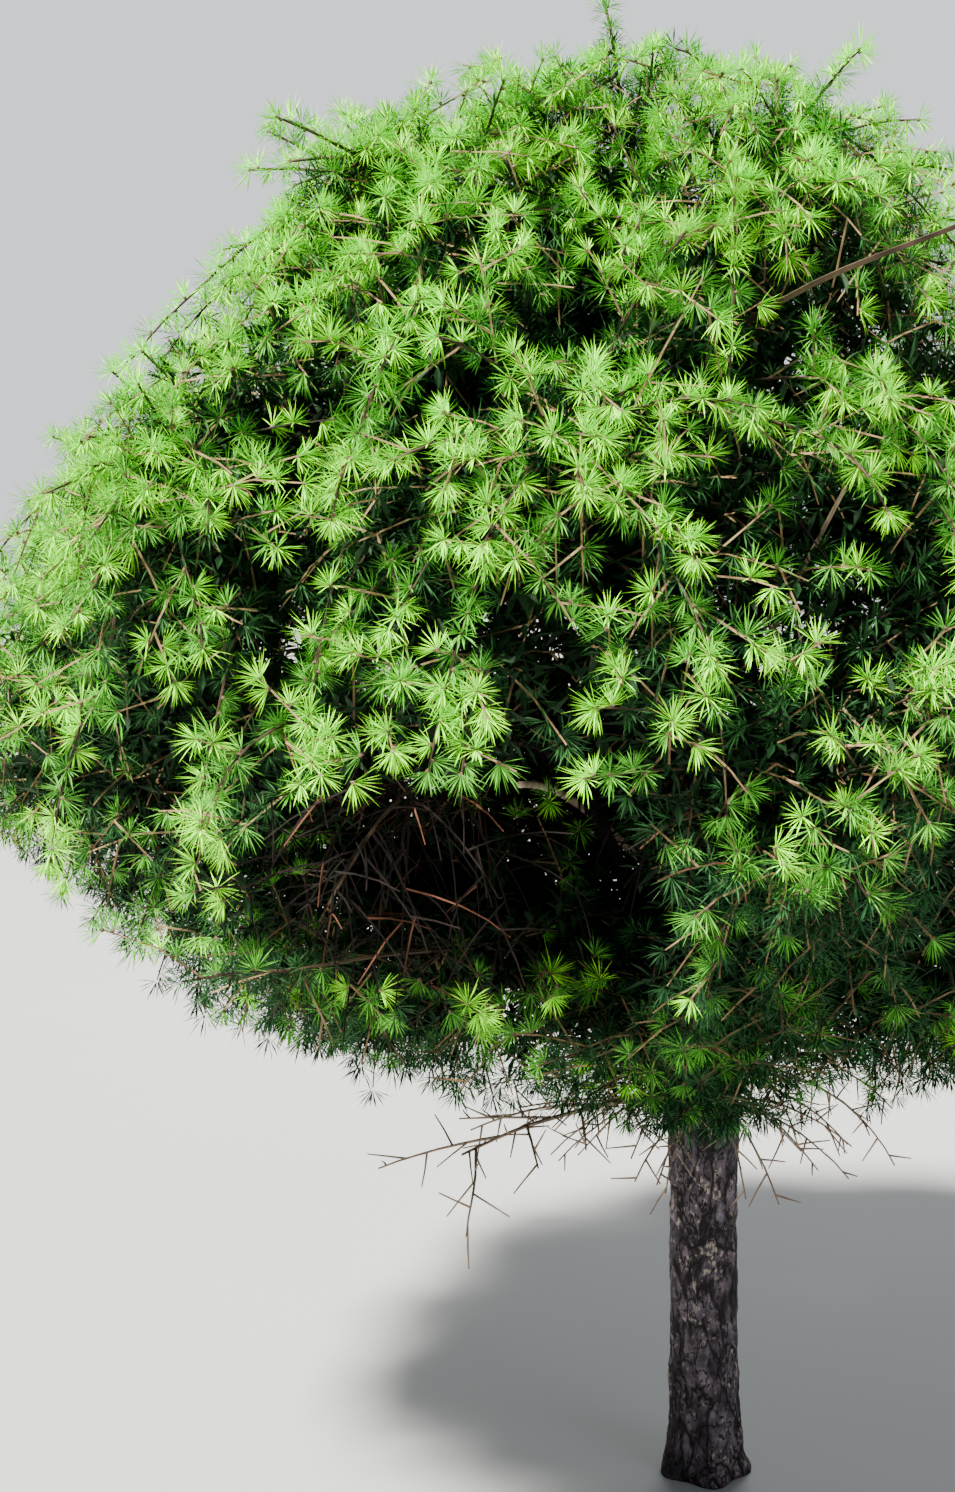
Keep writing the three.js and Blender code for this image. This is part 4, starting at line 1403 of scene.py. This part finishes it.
class LARCH_OT_needles(bpy.types.Operator):
    """Adds the sprays of needles along the twigs and a spur under each lit spray, with painted light and shade
    in their colours
    """

    bl_idname = "larch.needles"
    bl_label = "Needles"

    def execute(self, context):
        foliage = context.scene.larch_foliage
        masses = nodes_named("foliage_")
        points, ways, levels, gains = place_sprays(grow_tree())
        # Each spray's colour is painted light or shade by how much light reaches it, with painted flecks of
        # sun on some outer sprays
        rng = np.random.default_rng(SEEDS["flecks"])
        light = light_at(points) + gains
        light[(levels > OUTER_LEVEL) & (rng.random(len(light)) < FLECK_SHARE)] += FLECK_LIGHT
        dark = light < DARK_LIGHT
        light += rng.uniform(-TONE_SPREAD, TONE_SPREAD, len(light))
        inner = dark & (levels < MIDDLE_LEVEL)
        outer = dark & (levels >= OUTER_LEVEL)
        near = ~dark & (light >= HALF_LIT_LIGHT)
        bright = near & (light >= BRIGHT_LIGHT)
        bark = drifting_material("Spurs", context.scene.larch_wood.spur, roughness=0.7, scale=50, spread=0.4)
        add_piece("spurs", spur_arrays(points[near], ways[near]), bark, masses)
        full = foliage.needles
        # The inner and middle sprays are wide dark blades, painted shade that fills the inside of the crown
        # A kind's name, colour and sprays, its needles to a spray, and how much wider and longer they are
        for name, color, chosen, needles, wider, longer in [
            ("inner", foliage.dark, inner, DARK_NEEDLES, 8.4, 1.35),
            ("middle", foliage.dark, dark & ~inner & ~outer, DARK_NEEDLES, 5.8, 1.2),
            ("outer", foliage.edge, outer, full // 2, 1.5, 1.05),
            ("shaded", foliage.shaded, ~dark & ~near, full // 2, 1.4, 1),
            ("half_lit", foliage.half_lit, near & ~bright, full, 1.05, 1),
            ("bright", foliage.bright, bright, full, 1.1, 1),
        ]:
            material = drifting_material(
                f"Needles {name}", color, roughness=0.6, scale=9, spread=0.18, shine=0.12
            )
            places = np.flatnonzero(chosen)
            width = wider * foliage.needle_width
            sprays_a_piece = PIECE_TRIANGLES // (NEEDLE_TRIANGLES * needles)
            for number, start in enumerate(range(0, len(places), sprays_a_piece)):
                some = places[start:start + sprays_a_piece]
                seed = SEEDS["needles"] + number
                blades = needle_arrays(points[some], ways[some], needles, width, longer, seed)
                add_piece(f"needles_{name}_{number + 1}", blades, material, masses)
        return {"FINISHED"}


def add_light(kind, name, place, power, color):
    bpy.ops.object.light_add(type=kind, location=place)
    light = bpy.context.object
    light.name = name
    light.data.energy = power
    light.data.color = color
    light.rotation_euler = (LIGHT_AIM - Vector(place)).to_track_quat("-Z", "Y").to_euler()
    return light.data


class LARCH_OT_stage(bpy.types.Operator):
    """Sets the floor, the lights and the camera"""

    bl_idname = "larch.stage"
    bl_label = "Stage"

    def execute(self, context):
        stage = context.scene.larch_stage
        start_alone()
        bpy.ops.mesh.primitive_plane_add(size=40, location=(0, 0, 0))
        floor = context.object
        floor.name = "floor"
        floor.data.materials.append(
            drifting_material("Floor", stage.floor, roughness=0.9, scale=1.5, spread=0.015)
        )
        world = context.scene.world or bpy.data.worlds.new("Surroundings")
        context.scene.world = world
        world.use_nodes = True
        tree = world.node_tree
        background = tree.nodes["Background"]
        background.inputs["Color"].default_value = (0.93, 0.96, 1.0, 1)
        seen = add_node(tree, "LightPath").outputs["Is Camera Ray"]
        brightness = dict(To_Min=stage.sky_strength, To_Max=stage.backdrop_strength)
        strength = add_node(tree, "MapRange", Value=seen, **brightness)
        tree.links.new(strength.outputs["Result"], background.inputs["Strength"])
        key = add_light("SUN", "key", (-2.0, -1.7, 5.0), stage.key_strength, (1.0, 0.96, 0.83))
        key.angle = math.radians(8)
        fill = add_light("AREA", "fill", (2.9, -2.4, 1.9), stage.fill_power, (0.92, 0.96, 1.0))
        fill.size = 2.5
        back = add_light("AREA", "back", (0.6, 3.2, 3.2), 3 * stage.fill_power, (1.0, 1.0, 0.96))
        back.size = 2.0
        bpy.ops.object.camera_add(location=EYE, rotation=(math.radians(90 - EYE_DIP), 0, 0))
        camera = context.object
        camera.data.lens = stage.lens
        camera.data.sensor_width = 36
        context.scene.camera = camera
        return {"FINISHED"}


class LARCH_PT_panel(bpy.types.Panel):
    """Lists the parts of the larch in the order in which they are made"""

    bl_label = "Larch"
    bl_idname = "LARCH_PT_panel"
    bl_space_type = "VIEW_3D"
    bl_region_type = "UI"
    bl_category = "Larch"

    def draw(self, context):
        for settings in SETTINGS:
            group = getattr(context.scene, settings)
            box = self.layout.box()
            for name in group.__annotations__:
                box.prop(group, name)
        for operator in OPERATORS:
            self.layout.operator(operator.bl_idname)


OPERATORS = (
    LARCH_OT_stage,
    LARCH_OT_trunk,
    LARCH_OT_boughs,
    LARCH_OT_dead_wood,
    LARCH_OT_twigs,
    LARCH_OT_needles,
)
SETTINGS = {
    "larch_trunk": TrunkSettings,
    "larch_wood": WoodSettings,
    "larch_foliage": FoliageSettings,
    "larch_stage": StageSettings,
}


def register():
    for name, group in SETTINGS.items():
        bpy.utils.register_class(group)
        setattr(bpy.types.Scene, name, PointerProperty(type=group))
    for cls in (*OPERATORS, LARCH_PT_panel):
        bpy.utils.register_class(cls)


def unregister():
    for cls in reversed((*OPERATORS, LARCH_PT_panel)):
        bpy.utils.unregister_class(cls)
    for name, group in reversed(SETTINGS.items()):
        delattr(bpy.types.Scene, name)
        bpy.utils.unregister_class(group)


def main():
    register()
    bpy.ops.larch.stage()
    bpy.ops.larch.trunk()
    bpy.ops.larch.boughs()
    bpy.ops.larch.dead_wood()
    bpy.ops.larch.twigs()
    bpy.ops.larch.needles()
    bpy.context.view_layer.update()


if __name__ == "__main__":
    main()
